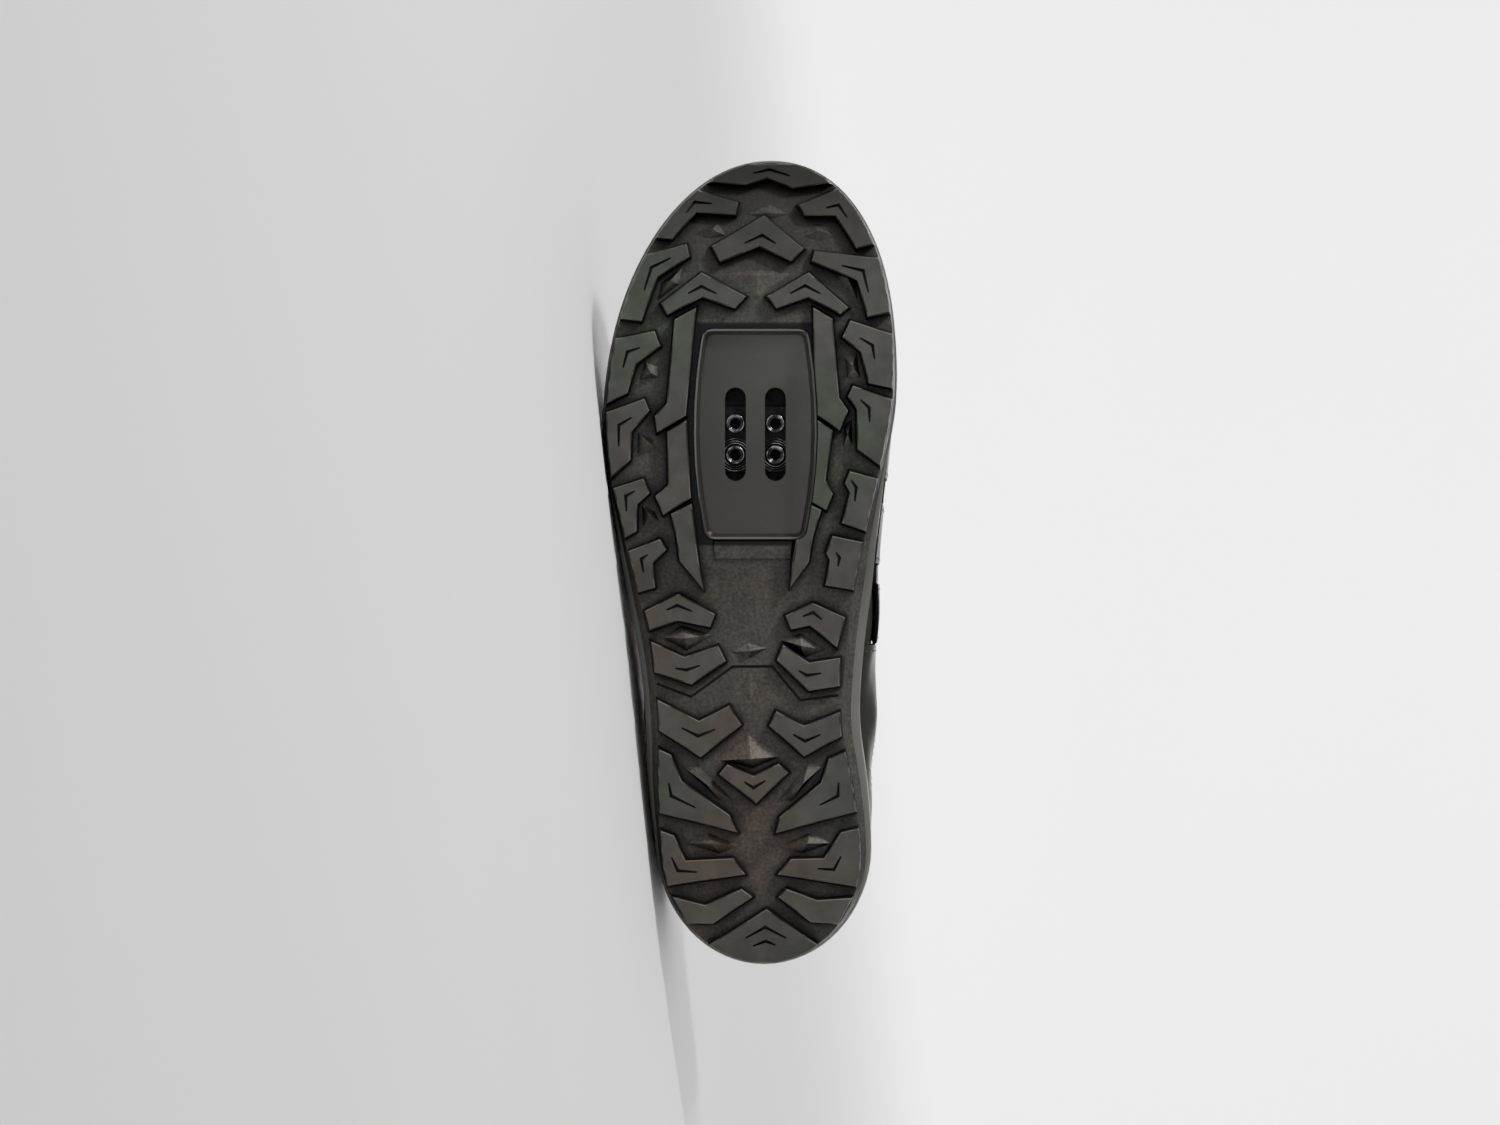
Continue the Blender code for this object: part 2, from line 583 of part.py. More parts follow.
def make_nut_plate(part, tools):
    """Sliding plate above the slots, with four threaded bosses reaching down into them."""
    bottom = plate_bottom() + PLATE_THICKNESS + GAP
    nut = prism("cleat_nut_plate", nut_outline(), bottom, bottom + NUT_THICKNESS)
    for side in (-1, 1):
        for row in (-1, 1):
            place = (THREAD_ROW_MIDDLE + row * THREAD_ROW_SPACING / 2, SLOT_SIDE + side * SLOT_SPACING / 2)
            tag = "{}_{}".format("medial" if side == 1 else "lateral", "front" if row == 1 else "rear")
            boss = prism("boss_" + tag, ring_outline(*place, SLOT_WIDTH / 2 - GAP),
                         bottom - NUT_BOSS_HEIGHT, bottom + NUT_THICKNESS / 2)
            cut(nut, as_tool(boss, tools), "UNION")
            bore = prism("thread_" + tag, ring_outline(*place, THREAD_BORE / 2),
                         bottom - 2 * NUT_BOSS_HEIGHT, bottom + 2 * NUT_THICKNESS)
            cut(nut, as_tool(bore, tools))
    return finish(nut, part, (0.08, 0.08, 0.085), 0.3, 1.0)


def upper_x(along):
    return UPPER_HEEL_SETBACK + along * (SOLE_LENGTH - UPPER_HEEL_SETBACK - UPPER_TOE_SETBACK)


def upper_top(along):
    """Where the wall ends at the collar and the throat, as a share of the quarter turn to the crown."""
    top = between(UPPER, along, "top")
    if along >= THROAT_FRONT:
        return 1.0
    if along > THROAT_SHOULDER:
        share = (along - THROAT_SHOULDER) / (THROAT_FRONT - THROAT_SHOULDER)
        return 1 - (1 - top) * math.sqrt(1 - share * share)
    return top


def upper_point(side, along, turn):
    """A point of the upper's outer face. Turn is -1 at the sole, 0 at the widest and 1 at the crown."""
    rounding = end_rounding(along)
    foot = between(UPPER, along, "foot_centre") + side * rounding * between(UPPER, along, "foot_half")
    belly = between(UPPER, along, "belly_centre") + side * rounding * between(UPPER, along, "belly_half")
    belly_centre = between(UPPER, along, "belly_centre")
    middle = belly_centre + (between(UPPER, along, "crown_side") - belly_centre) * rounding
    low = bed_height(upper_x(along) / SOLE_LENGTH) + GAP
    widest = max(INSTEP_HEIGHT * between(UPPER, along, "belly_height"), low + UPPER_WALL)
    crown = INSTEP_HEIGHT * between(UPPER, along, "crown_height")
    if along > TOE_DROP_START:
        drop = 1 - rounding ** TOE_DROP_POWER
        crown -= (crown - widest) * (1 - TOE_TIP_CROWN) * drop
    power = between(UPPER, along, "fullness")
    if turn < 0:
        y = belly + (foot - belly) * turn * turn
        z = widest + (widest - low) * turn
    else:
        angle = min(turn, 1.0) * math.pi / 2
        y = middle + (belly - middle) * max(0.0, math.cos(angle)) ** power
        z = widest + (crown - widest) * math.sin(angle) ** power
    heel_fade = max(0.0, 1 - along / HEEL_LEAN_REACH) ** 2
    toe_fade = max(0.0, 1 - (1 - along) / TOE_LEAN_REACH) ** 2
    rise = max(0.0, z - widest) / (INSTEP_HEIGHT - widest)
    lean = HEEL_LEAN * heel_fade * rise ** HEEL_LEAN_POWER - TOE_LEAN * toe_fade * rise
    return Vector((upper_x(along) + lean, BALL_WIDTH * y, z))


def skin(name, columns, inner, outer):
    """A wall between two distances from the upper's outer face, over a grid of its points."""
    shape = bmesh.new()
    grid = [[shape.verts.new(upper_point(*place)) for place in column] for column in columns]
    for left, right in zip(grid, grid[1:]):
        for i in range(len(left) - 1):
            shape.faces.new((left[i], right[i], right[i + 1], left[i + 1]))
    bmesh.ops.remove_doubles(shape, verts=shape.verts, dist=1e-5)
    bmesh.ops.dissolve_degenerate(shape, dist=1e-6, edges=shape.edges)
    wall = mesh_object(name, shape)
    thicken(wall, inner, outer)
    return wall


def thicken(wall, inner, outer):
    modifier = wall.modifiers.new("wall", "SOLIDIFY")
    modifier.thickness = outer - inner
    modifier.offset = (outer + inner) / (outer - inner)
    modifier.use_even_offset = True
    modifier.use_quality_normals = True


def spread(low, high, steps):
    return [low + (high - low) * i / steps for i in range(steps + 1)]


def upper_stations():
    """Places along the upper, closer together round the throat's front."""
    steps = 5
    throat = [THROAT_SHOULDER + (THROAT_FRONT - THROAT_SHOULDER) * math.sin(math.pi / 2 * i / steps)
              for i in range(steps + 1)]
    spare = 0.006
    rest = [a for a in stations(6, 20, 10) if not THROAT_SHOULDER - spare < a < THROAT_FRONT + spare]
    return sorted(rest + throat)


def make_upper(part):
    places = upper_stations()
    columns = []
    for side, order in ((-1, places), (1, places[::-1])):
        for along in order:
            columns.append([(side, along, turn) for turn in
                            spread(-1, 0, 2)[:-1] + spread(0, upper_top(along), 9)])
    return finish(skin("upper", columns, -UPPER_WALL, 0.0), part, (0.03, 0.03, 0.032), 0.65)


def make_toe_cap(part):
    """Overlay round the toe, its rear edge swept back towards the sole."""
    steps = spread(0, 1, 8)
    turns = spread(OVERLAY_LOW, 0, 2)[:-1] + spread(0, 1, 7)
    columns = []
    for side, order in ((-1, steps), (1, steps[::-1])):
        for share in order:
            column = []
            for turn in turns:
                rear = CAP_REAR + CAP_SWEEP * max(0.0, turn) ** CAP_SWEEP_POWER
                along = rear + (1 - rear) * math.sin(share * math.pi / 2)
                column.append((side, along, turn))
            columns.append(column)
    cap = skin("toe_cap", columns, SOFT_GAP, SOFT_GAP + OVERLAY_THICKNESS)
    return finish(cap, part, (0.035, 0.035, 0.035), 0.5)


def make_heel_counter(part):
    """Overlay round the heel, lower towards the front."""
    steps = spread(0, 1, 9)
    columns = []
    for side, order in ((-1, steps[::-1]), (1, steps)):
        for share in order:
            along = COUNTER_REACH * (1 - math.cos(share * math.pi / 2))
            top = (upper_top(along) - COUNTER_DROP) * (1 - (1 - COUNTER_FRONT_SHARE) * share ** 2)
            turns = spread(OVERLAY_LOW, 0, 2)[:-1] + spread(0, top, 5)
            columns.append([(side, along, turn) for turn in turns])
    counter = skin("heel_counter", columns[::-1], SOFT_GAP, SOFT_GAP + OVERLAY_THICKNESS)
    return finish(counter, part, (0.04, 0.04, 0.04), 0.5)


def make_strap(part, row):
    """A strap from the medial side of the sole, over the throat, to the lateral side."""
    half = STRAP_WIDTH / 2 / (SOLE_LENGTH - UPPER_HEEL_SETBACK - UPPER_TOE_SETBACK)
    path = [(1, turn) for turn in spread(row.medial_end, 1, 13)]
    path += [(-1, turn) for turn in spread(1, row.lateral_end, 8)[1:]]
    columns = []
    for i, (side, turn) in enumerate(path):
        progress = i / (len(path) - 1)
        end = min(1.0, (1 - progress) / STRAP_END_RUN)
        width = half * (STRAP_END_SHARE + (1 - STRAP_END_SHARE) * math.sqrt(1 - (1 - end) ** 2))
        middle = row.along + row.slant * (0.5 - progress)
        columns.append([(side, middle + share * width, turn) for share in (-1, 0, 1)])
    strap = skin(row.name, columns, SOFT_GAP, SOFT_GAP + STRAP_THICKNESS)
    return finish(strap, part, (0.02, 0.02, 0.022), 0.6)


def make_tongue(part):
    """Under the throat's edges, then free above the top strap."""
    shape = bmesh.new()
    grid = []
    places = spread(TONGUE_FRONT, TONGUE_TOP, 12)
    top_slope = (upper_point(1, TONGUE_TOP, 1) - upper_point(1, places[-2], 1)).normalized()
    rise = (top_slope + Vector((0, 0, TONGUE_TOP_LIFT))).normalized() * TONGUE_RISE
    rows = [(along, 0.0) for along in places] + [(places[-1], share) for share in (0.35, 0.7, 1.0)]
    for along, lift in rows:
        progress = (along - TONGUE_TOP) / (TONGUE_FRONT - TONGUE_TOP)
        reach = TONGUE_REACH + (TONGUE_FRONT_REACH - TONGUE_REACH) * progress
        reach *= 1 - (1 - TONGUE_TOP_SHARE) * lift ** 2
        line = []
        for share in spread(-1, 1, 8):
            side = 1 if share >= 0 else -1
            point = upper_point(side, along, 1 - reach * abs(share)) + rise * lift
            point.x += TONGUE_CURL * lift * abs(share)
            line.append(shape.verts.new(point))
        grid.append(line)
    for low, high in zip(grid, grid[1:]):
        for i in range(len(low) - 1):
            shape.faces.new((low[i], low[i + 1], high[i + 1], high[i]))
    tongue = mesh_object("tongue", shape)
    outer = -UPPER_WALL - TONGUE_GAP
    thicken(tongue, outer - TONGUE_THICKNESS, outer)
    return finish(tongue, part, (0.03, 0.03, 0.03), 0.8)


def make_insole(part):
    """Foot bed inside the upper's lower edge."""
    inset = UPPER_WALL + SOFT_GAP + INSOLE_THICKNESS * 0.35
    rings = []
    for along in stations(6, 16, 10):
        rounding = end_rounding(along)
        x = inset + upper_x(along) + (0 if along == 0 else -2 * inset * along)
        ring = []
        for side, levels in ((-1, (INSOLE_THICKNESS, 0)), (1, (0, INSOLE_THICKNESS))):
            for level in levels:
                half = BALL_WIDTH * between(UPPER, along, "foot_half") - inset
                y = BALL_WIDTH * between(UPPER, along, "foot_centre") + side * half * rounding
                ring.append((x, y, bed_height(x / SOLE_LENGTH) + GAP + level))
        rings.append(ring)
    return finish(loft("insole", rings), part, (0.10, 0.10, 0.10), 0.9)


def world_points(pieces):
    """The pieces' evaluated vertices and the centre of their volume."""
    view = bpy.context.evaluated_depsgraph_get()
    points, moment, volume = [], Vector(), 0.0
    for piece in pieces:
        shape = bmesh.new()
        shape.from_mesh(piece.evaluated_get(view).data)
        bmesh.ops.triangulate(shape, faces=shape.faces)
        for face in shape.faces:
            a, b, c = (vert.co for vert in face.verts)
            part_volume = a.dot(b.cross(c)) / 6
            moment += part_volume * (a + b + c) / 4
            volume += part_volume
        points += [vert.co.copy() for vert in shape.verts]
        shape.free()
    return points, moment / volume


def resting_direction(points, centre, down):
    """Turn a first guess of down until it stands under the centre of mass on one face of the hull."""
    hull = bmesh.new()
    for point in points:
        hull.verts.new(point)
    bmesh.ops.convex_hull(hull, input=hull.verts)
    faces = []
    for face in hull.faces:
        normal = face.normal.copy()
        reach = normal.dot(face.verts[0].co - centre)
        if face.calc_area() > 1e-9:
            faces.append((normal if reach > 0 else -normal, abs(reach)))
    hull.free()
    for _ in range(40):
        hits = [(reach / normal.dot(down), normal) for normal, reach in faces if normal.dot(down) > 1e-6]
        normal = min(hits, key=lambda hit: hit[0])[1]
        if normal.dot(down) > 0.9999999:
            break
        down = normal
    return down


def lay_down(pieces):
    """Lay the shoe on its lateral side, toe towards -X, over the middle of its footprint."""
    points, centre = world_points(pieces)
    down = resting_direction(points, centre, Vector((0, -1, 0)))
    up = -down
    toe = Vector((1, 0, 0))
    x_axis = -(toe - up * toe.dot(up)).normalized()
    y_axis = up.cross(x_axis)
    turn = Matrix((x_axis, y_axis, up)).to_4x4()
    turned = [turn @ point for point in points]
    low = [min(point[i] for point in turned) for i in range(3)]
    high = [max(point[i] for point in turned) for i in range(3)]
    shift = Vector((-(low[0] + high[0]) / 2, -(low[1] + high[1]) / 2, -low[2]))
    holder = bpy.data.objects.new("lying_shoe", None)
    holder.matrix_world = Matrix.Translation(shift) @ turn
    return holder


def main():
    clear_scene()
    part = bpy.data.collections.new("cycling_shoe")
    tools = bpy.data.collections.new("cutters")
    for collection in (part, tools):
        bpy.context.scene.collection.children.link(collection)
    pieces = [make_outsole(part, tools), make_midsole(part, tools), make_cleat_plate(part, tools),
              make_nut_plate(part, tools), make_upper(part), make_toe_cap(part),
              make_heel_counter(part), make_tongue(part), make_insole(part)]
    pieces += [make_strap(part, row) for row in STRAPS]
    bpy.context.view_layer.update()
    holder = lay_down(pieces)
    part.objects.link(holder)
    for piece in pieces + list(tools.objects):
        piece.parent = holder
    bpy.context.view_layer.update()


main()
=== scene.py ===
"""Looks of the right cycling shoe that lies on its side: rubber sole, cleat recess, upper and straps."""
import json
import math
from collections import namedtuple

import bmesh
import bpy
from mathutils import Matrix, Vector
from mathutils.bvhtree import BVHTree


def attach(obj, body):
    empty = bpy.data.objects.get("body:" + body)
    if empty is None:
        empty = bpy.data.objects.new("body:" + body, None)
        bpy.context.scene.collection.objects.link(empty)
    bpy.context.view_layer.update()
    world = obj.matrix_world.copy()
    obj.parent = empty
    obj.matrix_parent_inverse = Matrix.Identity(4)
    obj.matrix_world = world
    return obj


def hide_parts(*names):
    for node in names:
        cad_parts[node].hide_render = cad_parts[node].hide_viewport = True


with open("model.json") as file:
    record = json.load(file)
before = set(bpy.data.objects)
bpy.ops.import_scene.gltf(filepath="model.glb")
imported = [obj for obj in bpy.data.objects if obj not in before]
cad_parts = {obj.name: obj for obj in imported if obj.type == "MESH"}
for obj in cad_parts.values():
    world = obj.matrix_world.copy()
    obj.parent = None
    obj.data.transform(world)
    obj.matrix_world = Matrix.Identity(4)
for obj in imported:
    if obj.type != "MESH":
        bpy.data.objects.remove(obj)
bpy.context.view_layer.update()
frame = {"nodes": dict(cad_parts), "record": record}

NODES = frame["nodes"]
MM = 0.001

# The shoe's own sizes, as the frame was built
SOLE_LENGTH = 0.282
BALL_WIDTH = 0.1012
SOLE_HEIGHT = 0.025
INSTEP_HEIGHT = 0.118
HEEL_ROUND = 0.040
TOE_ROUND = 0.085
TOE_FULLNESS = 2.1
LUG_HEIGHT = 0.0042
LUG_CHAMFER = 0.00035
BASE_THICKNESS = 0.0030
UPPER_WALL = 0.0020
UPPER_HEEL_SETBACK = 0.0022
UPPER_TOE_SETBACK = 0.0040
OVERLAY_THICKNESS = 0.0014
HEEL_LEAN = 0.0165
TOE_LEAN = 0.0100
TONGUE_THICKNESS = 0.0042
TONGUE_RISE = 0.017
TONGUE_CURL = 0.006
TONGUE_GAP = 0.0008
STRAP_WIDTH = 0.021
STRAP_THICKNESS = 0.0018
GAP = 0.0003
SOFT_GAP = 0.0005
POCKET_MIDDLE = 0.6575 * SOLE_LENGTH
POCKET_LENGTH = 0.0742
POCKET_SIDE = -0.0016
POCKET_HALF_WIDTH = 0.01875
POCKET_BULGE = 0.0031
POCKET_REACH = 0.024
SLOT_SIDE = -0.0016
SLOT_SPACING = 0.0140
THREAD_ROW_MIDDLE = POCKET_MIDDLE - 0.0017
THREAD_ROW_SPACING = 0.0110
PLATE_BOTTOM = 0.0075
NUT_FACE_DEPTH = 0.0011
HEEL_MOUNT_ALONG = 0.222
HEEL_MOUNT_SIDE = -0.00194
THROAT_SHOULDER = 0.69
THROAT_FRONT = 0.735
TONGUE_FRONT = 0.775
TONGUE_TOP = 0.395
CAP_REAR = 0.790
CAP_SWEEP = 0.085
COUNTER_REACH = 0.235
HEEL_LEAN_REACH = 0.30
TOE_LEAN_REACH = 0.20
TOE_DROP_START = 0.50
OVERLAY_LOW = -0.80
COUNTER_DROP = 0.10
TONGUE_REACH = 0.40
TONGUE_FRONT_REACH = 0.27
TOE_TIP_CROWN = 0.22
TOE_DROP_POWER = 0.75
HEEL_LEAN_POWER = 1.6
CAP_SWEEP_POWER = 1.4
COUNTER_FRONT_SHARE = 0.25
TONGUE_TOP_SHARE = 0.70
TONGUE_TOP_LIFT = 0.45
STRAP_END_SHARE = 0.72
STRAP_END_RUN = 0.11
UPPER_LENGTH = SOLE_LENGTH - UPPER_HEEL_SETBACK - UPPER_TOE_SETBACK
STRAP_HALF = STRAP_WIDTH / 2 / UPPER_LENGTH

# Trim that only the looks have
FILM_LOW = 0.00005
FILM_THICKNESS = 0.00040
BINDING_RADIUS = 0.00135
PAD_FRONT = 0.405
PAD_LOW = -0.30
PAD_GAP = 0.00015
PAD_EDGE = 0.0006
PAD_THICKNESS = 0.0052
CHANNEL_SPACING = 0.017
CHANNEL_HALF = 0.0016
CHANNEL_DEPTH = 0.0009
TONGUE_ROUND = 0.0018
TONGUE_ROLL = 0.0030
STRAP_SEAM = 0.82
CAP_SEAMS = (0.010, 0.018)
COUNTER_SEAM = 0.04
EYESTAY_SEAM = 0.03
THROAT_SEAM = 0.06
QUARTER_SEAM = 0.03
QUARTER_FRONT_SEAM = 0.008
BOX_NEAR = 3
BOX_FAR = 10
STRAP_MEDIAL_STEPS = 13
STRAP_LATERAL_STEPS = 8
EYESTAY_REAR = 0.425
EYESTAY_FRONT = 0.765
EYESTAY_DROP = 0.26
EYESTAY_WIDENING = 0.16
QUARTER_REAR = 0.2355
QUARTER_FRONT = 0.396
QUARTER_LOW = 0.035
QUARTER_RISE = 0.20
PANEL_LOW = -0.34
PANEL_HIGH = 0.55
PANEL_CLEAR = 0.0016
STRUT_FLARE = 0.8
STRUT_UNDER_BAND = 0.05
STRUT_UNDER_EYESTAY = 0.04
INSOLE_ROUND = 0.0010
WALL_BAND_DEPTH = 0.0008
EVEN_STEP = 0.003
THREAD_TURNS = 7
RIB_RADII = (4.1, 4.9, 5.7)

# The tread's faces are told apart by how level they are and by how deep they lie in shares of the lugs
RIM_LEVEL = (0.55, 0.93)
RIM_DEPTH = (0.015, 0.2)
FACET_LEVEL = (0.70, 0.975)
FACET_DEPTH = (0.1, 0.95)
SHALLOW = 0.3
STEEP = 0.3
SIDE_LEVEL = 0.62
SIDE_FADE = 0.3
NEARLY_LEVEL = 0.88

# Sole outline: shares of the sole's length, then of the ball width
Edge = namedtuple("Edge", "along centre half flare_lateral flare_medial")
OUTLINE = (
    Edge(0.00, 0.014, 0.350, 0.000, 0.010),
    Edge(0.14, 0.004, 0.350, 0.010, 0.030),
    Edge(0.22, -0.015, 0.342, 0.025, 0.045),
    Edge(0.30, -0.036, 0.322, 0.035, 0.060),
    Edge(0.38, -0.040, 0.340, 0.035, 0.055),
    Edge(0.45, -0.048, 0.372, 0.030, 0.055),
    Edge(0.53, -0.053, 0.420, 0.015, 0.035),
    Edge(0.62, -0.052, 0.475, 0.005, 0.010),
    Edge(0.70, -0.036, 0.498, 0.000, 0.005),
    Edge(0.80, -0.015, 0.498, 0.000, 0.000),
    Edge(0.90, 0.012, 0.498, 0.000, 0.000),
    Edge(1.00, 0.040, 0.498, 0.000, 0.000),
)

# Side view of the sole: shares of its length and height
Height = namedtuple("Height", "along tread bed")
PROFILE = (
    Height(0.00, 0.16, 1.06),
    Height(0.05, 0.00, 1.03),
    Height(0.28, 0.00, 0.97),
    Height(0.36, 0.06, 0.88),
    Height(0.43, 0.14, 0.78),
    Height(0.51, 0.05, 0.67),
    Height(0.57, 0.00, 0.60),
    Height(0.74, 0.00, 0.56),
    Height(0.80, 0.06, 0.60),
    Height(0.86, 0.20, 0.72),
    Height(0.92, 0.42, 0.92),
    Height(1.00, 0.82, 1.26),
)

# Upper: shares of its length, of the ball width, of the instep height, of a quarter turn
Section = namedtuple("Section", "along foot_centre foot_half belly_centre belly_half "
                                "belly_height crown_height crown_side fullness top")
UPPER = (
    Section(0.00, 0.015, 0.320, 0.015, 0.350, 0.39, 0.89, 0.015, 0.90, 0.44),
    Section(0.14, 0.008, 0.322, 0.012, 0.358, 0.37, 0.88, 0.010, 0.90, 0.34),
    Section(0.27, -0.025, 0.315, 0.004, 0.382, 0.35, 0.90, 0.000, 0.92, 0.24),
    Section(0.37, -0.035, 0.330, 0.000, 0.395, 0.33, 0.99, 0.000, 0.95, 0.32),
    Section(0.43, -0.038, 0.350, -0.005, 0.402, 0.32, 0.94, 0.005, 0.98, 0.52),
    Section(0.50, -0.042, 0.382, -0.020, 0.418, 0.30, 0.84, 0.012, 1.00, 0.62),
    Section(0.60, -0.045, 0.432, -0.036, 0.458, 0.27, 0.71, 0.025, 0.98, 0.73),
    Section(0.70, -0.035, 0.458, -0.034, 0.476, 0.26, 0.60, 0.040, 0.92, 0.81),
    Section(0.80, -0.014, 0.458, -0.014, 0.474, 0.26, 0.53, 0.055, 0.86, 0.90),
    Section(0.90, 0.013, 0.458, 0.013, 0.472, 0.29, 0.49, 0.060, 0.80, 1.00),
    Section(1.00, 0.040, 0.458, 0.040, 0.472, 0.34, 0.45, 0.045, 0.78, 1.00),
)

Strap = namedtuple("Strap", "name along slant medial_end lateral_end")
STRAPS = (
    Strap("strap_front", 0.635, 0.030, -0.55, 0.12),
    Strap("strap_middle", 0.530, 0.020, -0.55, 0.10),
    Strap("strap_top", 0.440, -0.010, -0.30, 0.16),
)

# Soft troughs in the upper: place along it, lean with the turn, low and high turn, half width, depth in mm
Crease = namedtuple("Crease", "side along lean low high half depth")
CREASES = (
    Crease(0, 0.752, -0.020, 0.45, 1.30, 0.0060, 0.9),
    Crease(0, 0.776, 0.012, 0.55, 1.30, 0.0050, 0.7),
    Crease(1, 0.720, 0.050, -0.30, 0.60, 0.0080, 0.8),
    Crease(-1, 0.728, 0.040, -0.30, 0.65, 0.0080, 0.8),
    Crease(1, 0.340, 0.060, -0.60, 0.15, 0.0110, 1.0),
    Crease(1, 0.262, -0.050, -0.50, 0.20, 0.0090, 0.9),
    Crease(-1, 0.330, 0.050, -0.60, 0.15, 0.0110, 1.0),
    Crease(-1, 0.270, -0.040, -0.50, 0.20, 0.0090, 0.8),
)

# Incised chevrons in the lug faces: three points in mm from the heel's back and the centre line
SIPES = (
    ((277.6, -2.3), (278.9, 3.4), (276.7, 10.5)),
    ((263.3, -25.9), (267.1, -22.9), (266.6, -16.9)),
    ((265.1, 23.3), (266.1, 27.6), (261.6, 30.6)),
    ((252.3, -5.5), (255.2, 0.8), (252.3, 5.5)),
    ((235.6, -40.5), (243.7, -38.0), (247.1, -31.3)),
    ((244.4, 28.6), (242.6, 36.1), (234.9, 37.9)),
    ((234.5, -25.1), (237.0, -20.5), (234.5, -15.2)),
    ((234.5, 10.5), (237.3, 15.8), (234.5, 21.1)),
    ((208.5, -47.8), (214.0, -46.3), (215.5, -41.9)),
    ((181.0, -49.3), (188.4, -49.3), (191.1, -44.8)),
    ((158.4, -46.6), (163.7, -46.9), (165.4, -43.7)),
    ((137.0, -40.7), (141.7, -41.5), (143.2, -39.2)),
    ((218.9, 34.9), (216.3, 39.3), (211.5, 40.0)),
    ((197.3, 35.1), (194.5, 38.1), (189.5, 38.3)),
    ((169.2, 31.9), (166.7, 33.6), (161.8, 33.1)),
    ((144.0, 26.6), (142.1, 27.8), (139.1, 27.2)),
    ((123.9, -32.7), (125.5, -28.9), (123.4, -23.7)),
    ((121.6, 14.9), (123.0, 18.6), (120.5, 21.7)),
    ((103.5, -29.6), (102.9, -25.7), (104.5, -21.0)),
    ((102.7, 13.5), (101.0, 16.4), (101.8, 21.4)),
    ((82.7, -27.3), (79.9, -21.6), (82.2, -15.7)),
    ((80.5, 11.5), (78.1, 15.7), (80.4, 21.1)),
    ((63.9, -5.5), (61.8, -2.3), (64.3, 1.9)),
    ((63.6, -31.9), (59.0, -31.0), (54.9, -22.5)),
    ((63.6, 27.5), (59.0, 27.2), (55.8, 20.9)),
    ((37.6, -30.9), (32.9, -28.7), (32.4, -22.0)),
    ((33.6, 20.1), (33.3, 25.8), (37.9, 28.3)),
    ((9.3, -5.1), (13.2, 1.8), (9.3, 9.2)),
    ((6.5, -2.5), (8.3, 2.1), (6.8, 5.4)),
)
SIPE_WIDTH = 1.15 * MM
SIPE_DEPTH = 1.1 * MM
SIPE_TIP = 0.45

# The fine step that crosses the waist of the sole, in the same millimetres
STEP_LINE = ((98.0, -36.0), (93.5, -24.1), (104.0, -9.5), (104.1, 4.3), (92.3, 14.0), (94.0, 27.5))
STEP_WIDTH = 0.9 * MM
STEP_DEPTH = 0.9 * MM


def shoe_frame():
    """The matrix from the shoe's own axes (toe, medial side, up) to the row's frame."""
    mounts = {mount["name"]: mount for mount in frame["record"]["mounts"]}
    seat = Vector(mounts["cleat_seat"]["pos_m"])
    heel = Vector(mounts["heel_tread"]["pos_m"])
    up = -Vector(mounts["cleat_seat"]["axis"]).normalized()
    seat_own = Vector((POCKET_MIDDLE, SLOT_SIDE, PLATE_BOTTOM))
    heel_own = Vector((HEEL_MOUNT_ALONG * SOLE_LENGTH, HEEL_MOUNT_SIDE, 0.0))
    run = seat - heel
    run = (run - up * run.dot(up)).normalized()
    own_run = seat_own - heel_own
    toe = Matrix.Rotation(-math.atan2(own_run.y, own_run.x), 3, up) @ run
    turn = Matrix((toe, up.cross(toe), up)).transposed()
    return Matrix.Translation(seat - turn @ seat_own) @ turn.to_4x4()


SHOE = shoe_frame()
SHOE_BACK = SHOE.inverted()
TURN_BACK = SHOE_BACK.to_3x3()


def between(table, along, column):
    """Read a column of a table along a smooth curve through its rows."""
    last = len(table) - 1
    if along <= table[0].along:
        return getattr(table[0], column)
    if along >= table[last].along:
        return getattr(table[last], column)
    low = max(i for i in range(last) if table[i].along <= along)

    def slope(i):
        before, after = table[max(i - 1, 0)], table[min(i + 1, last)]
        here = getattr(table[i], column)
        fall, rise = here - getattr(before, column), getattr(after, column) - here
        if 0 < i < last and fall * rise <= 0:
            return 0.0
        return (fall + rise) / (after.along - before.along)

    start, end = table[low], table[low + 1]
    span = end.along - start.along
    t = (along - start.along) / span
    return ((2 * t**3 - 3 * t**2 + 1) * getattr(start, column) + (t**3 - 2 * t**2 + t) * slope(low) * span
            + (3 * t**2 - 2 * t**3) * getattr(end, column) + (t**3 - t**2) * slope(low + 1) * span)


def end_rounding(along):
    heel, toe = HEEL_ROUND / SOLE_LENGTH, 1 - TOE_ROUND / SOLE_LENGTH
    if along < heel:
        return math.sqrt(max(0.0, 1 - ((heel - along) / heel) ** 2))
    if along > toe:
        share = min(1.0, (along - toe) / (1 - toe))
        return (1 - share ** TOE_FULLNESS) ** (1 / TOE_FULLNESS)
    return 1.0


def stations(heel_steps, middle_steps, toe_steps):
    heel, toe = HEEL_ROUND / SOLE_LENGTH, 1 - TOE_ROUND / SOLE_LENGTH
    quarter = math.pi / 2
    places = [heel * (1 - math.cos(quarter * i / heel_steps)) for i in range(heel_steps)]
    places += [heel + (toe - heel) * i / middle_steps for i in range(middle_steps)]
    places += [toe + (1 - toe) * math.sin(quarter * i / toe_steps) for i in range(toe_steps + 1)]
    return places


def spread(low, high, steps):
    return [low + (high - low) * i / steps for i in range(steps + 1)]


def clamp(value):
    return min(1.0, max(0.0, value))


def tread_height(along):
    return SOLE_HEIGHT * between(PROFILE, along, "tread")


def bed_height(along):
    return SOLE_HEIGHT * between(PROFILE, along, "bed")


def upper_x(along):
    return UPPER_HEEL_SETBACK + along * UPPER_LENGTH


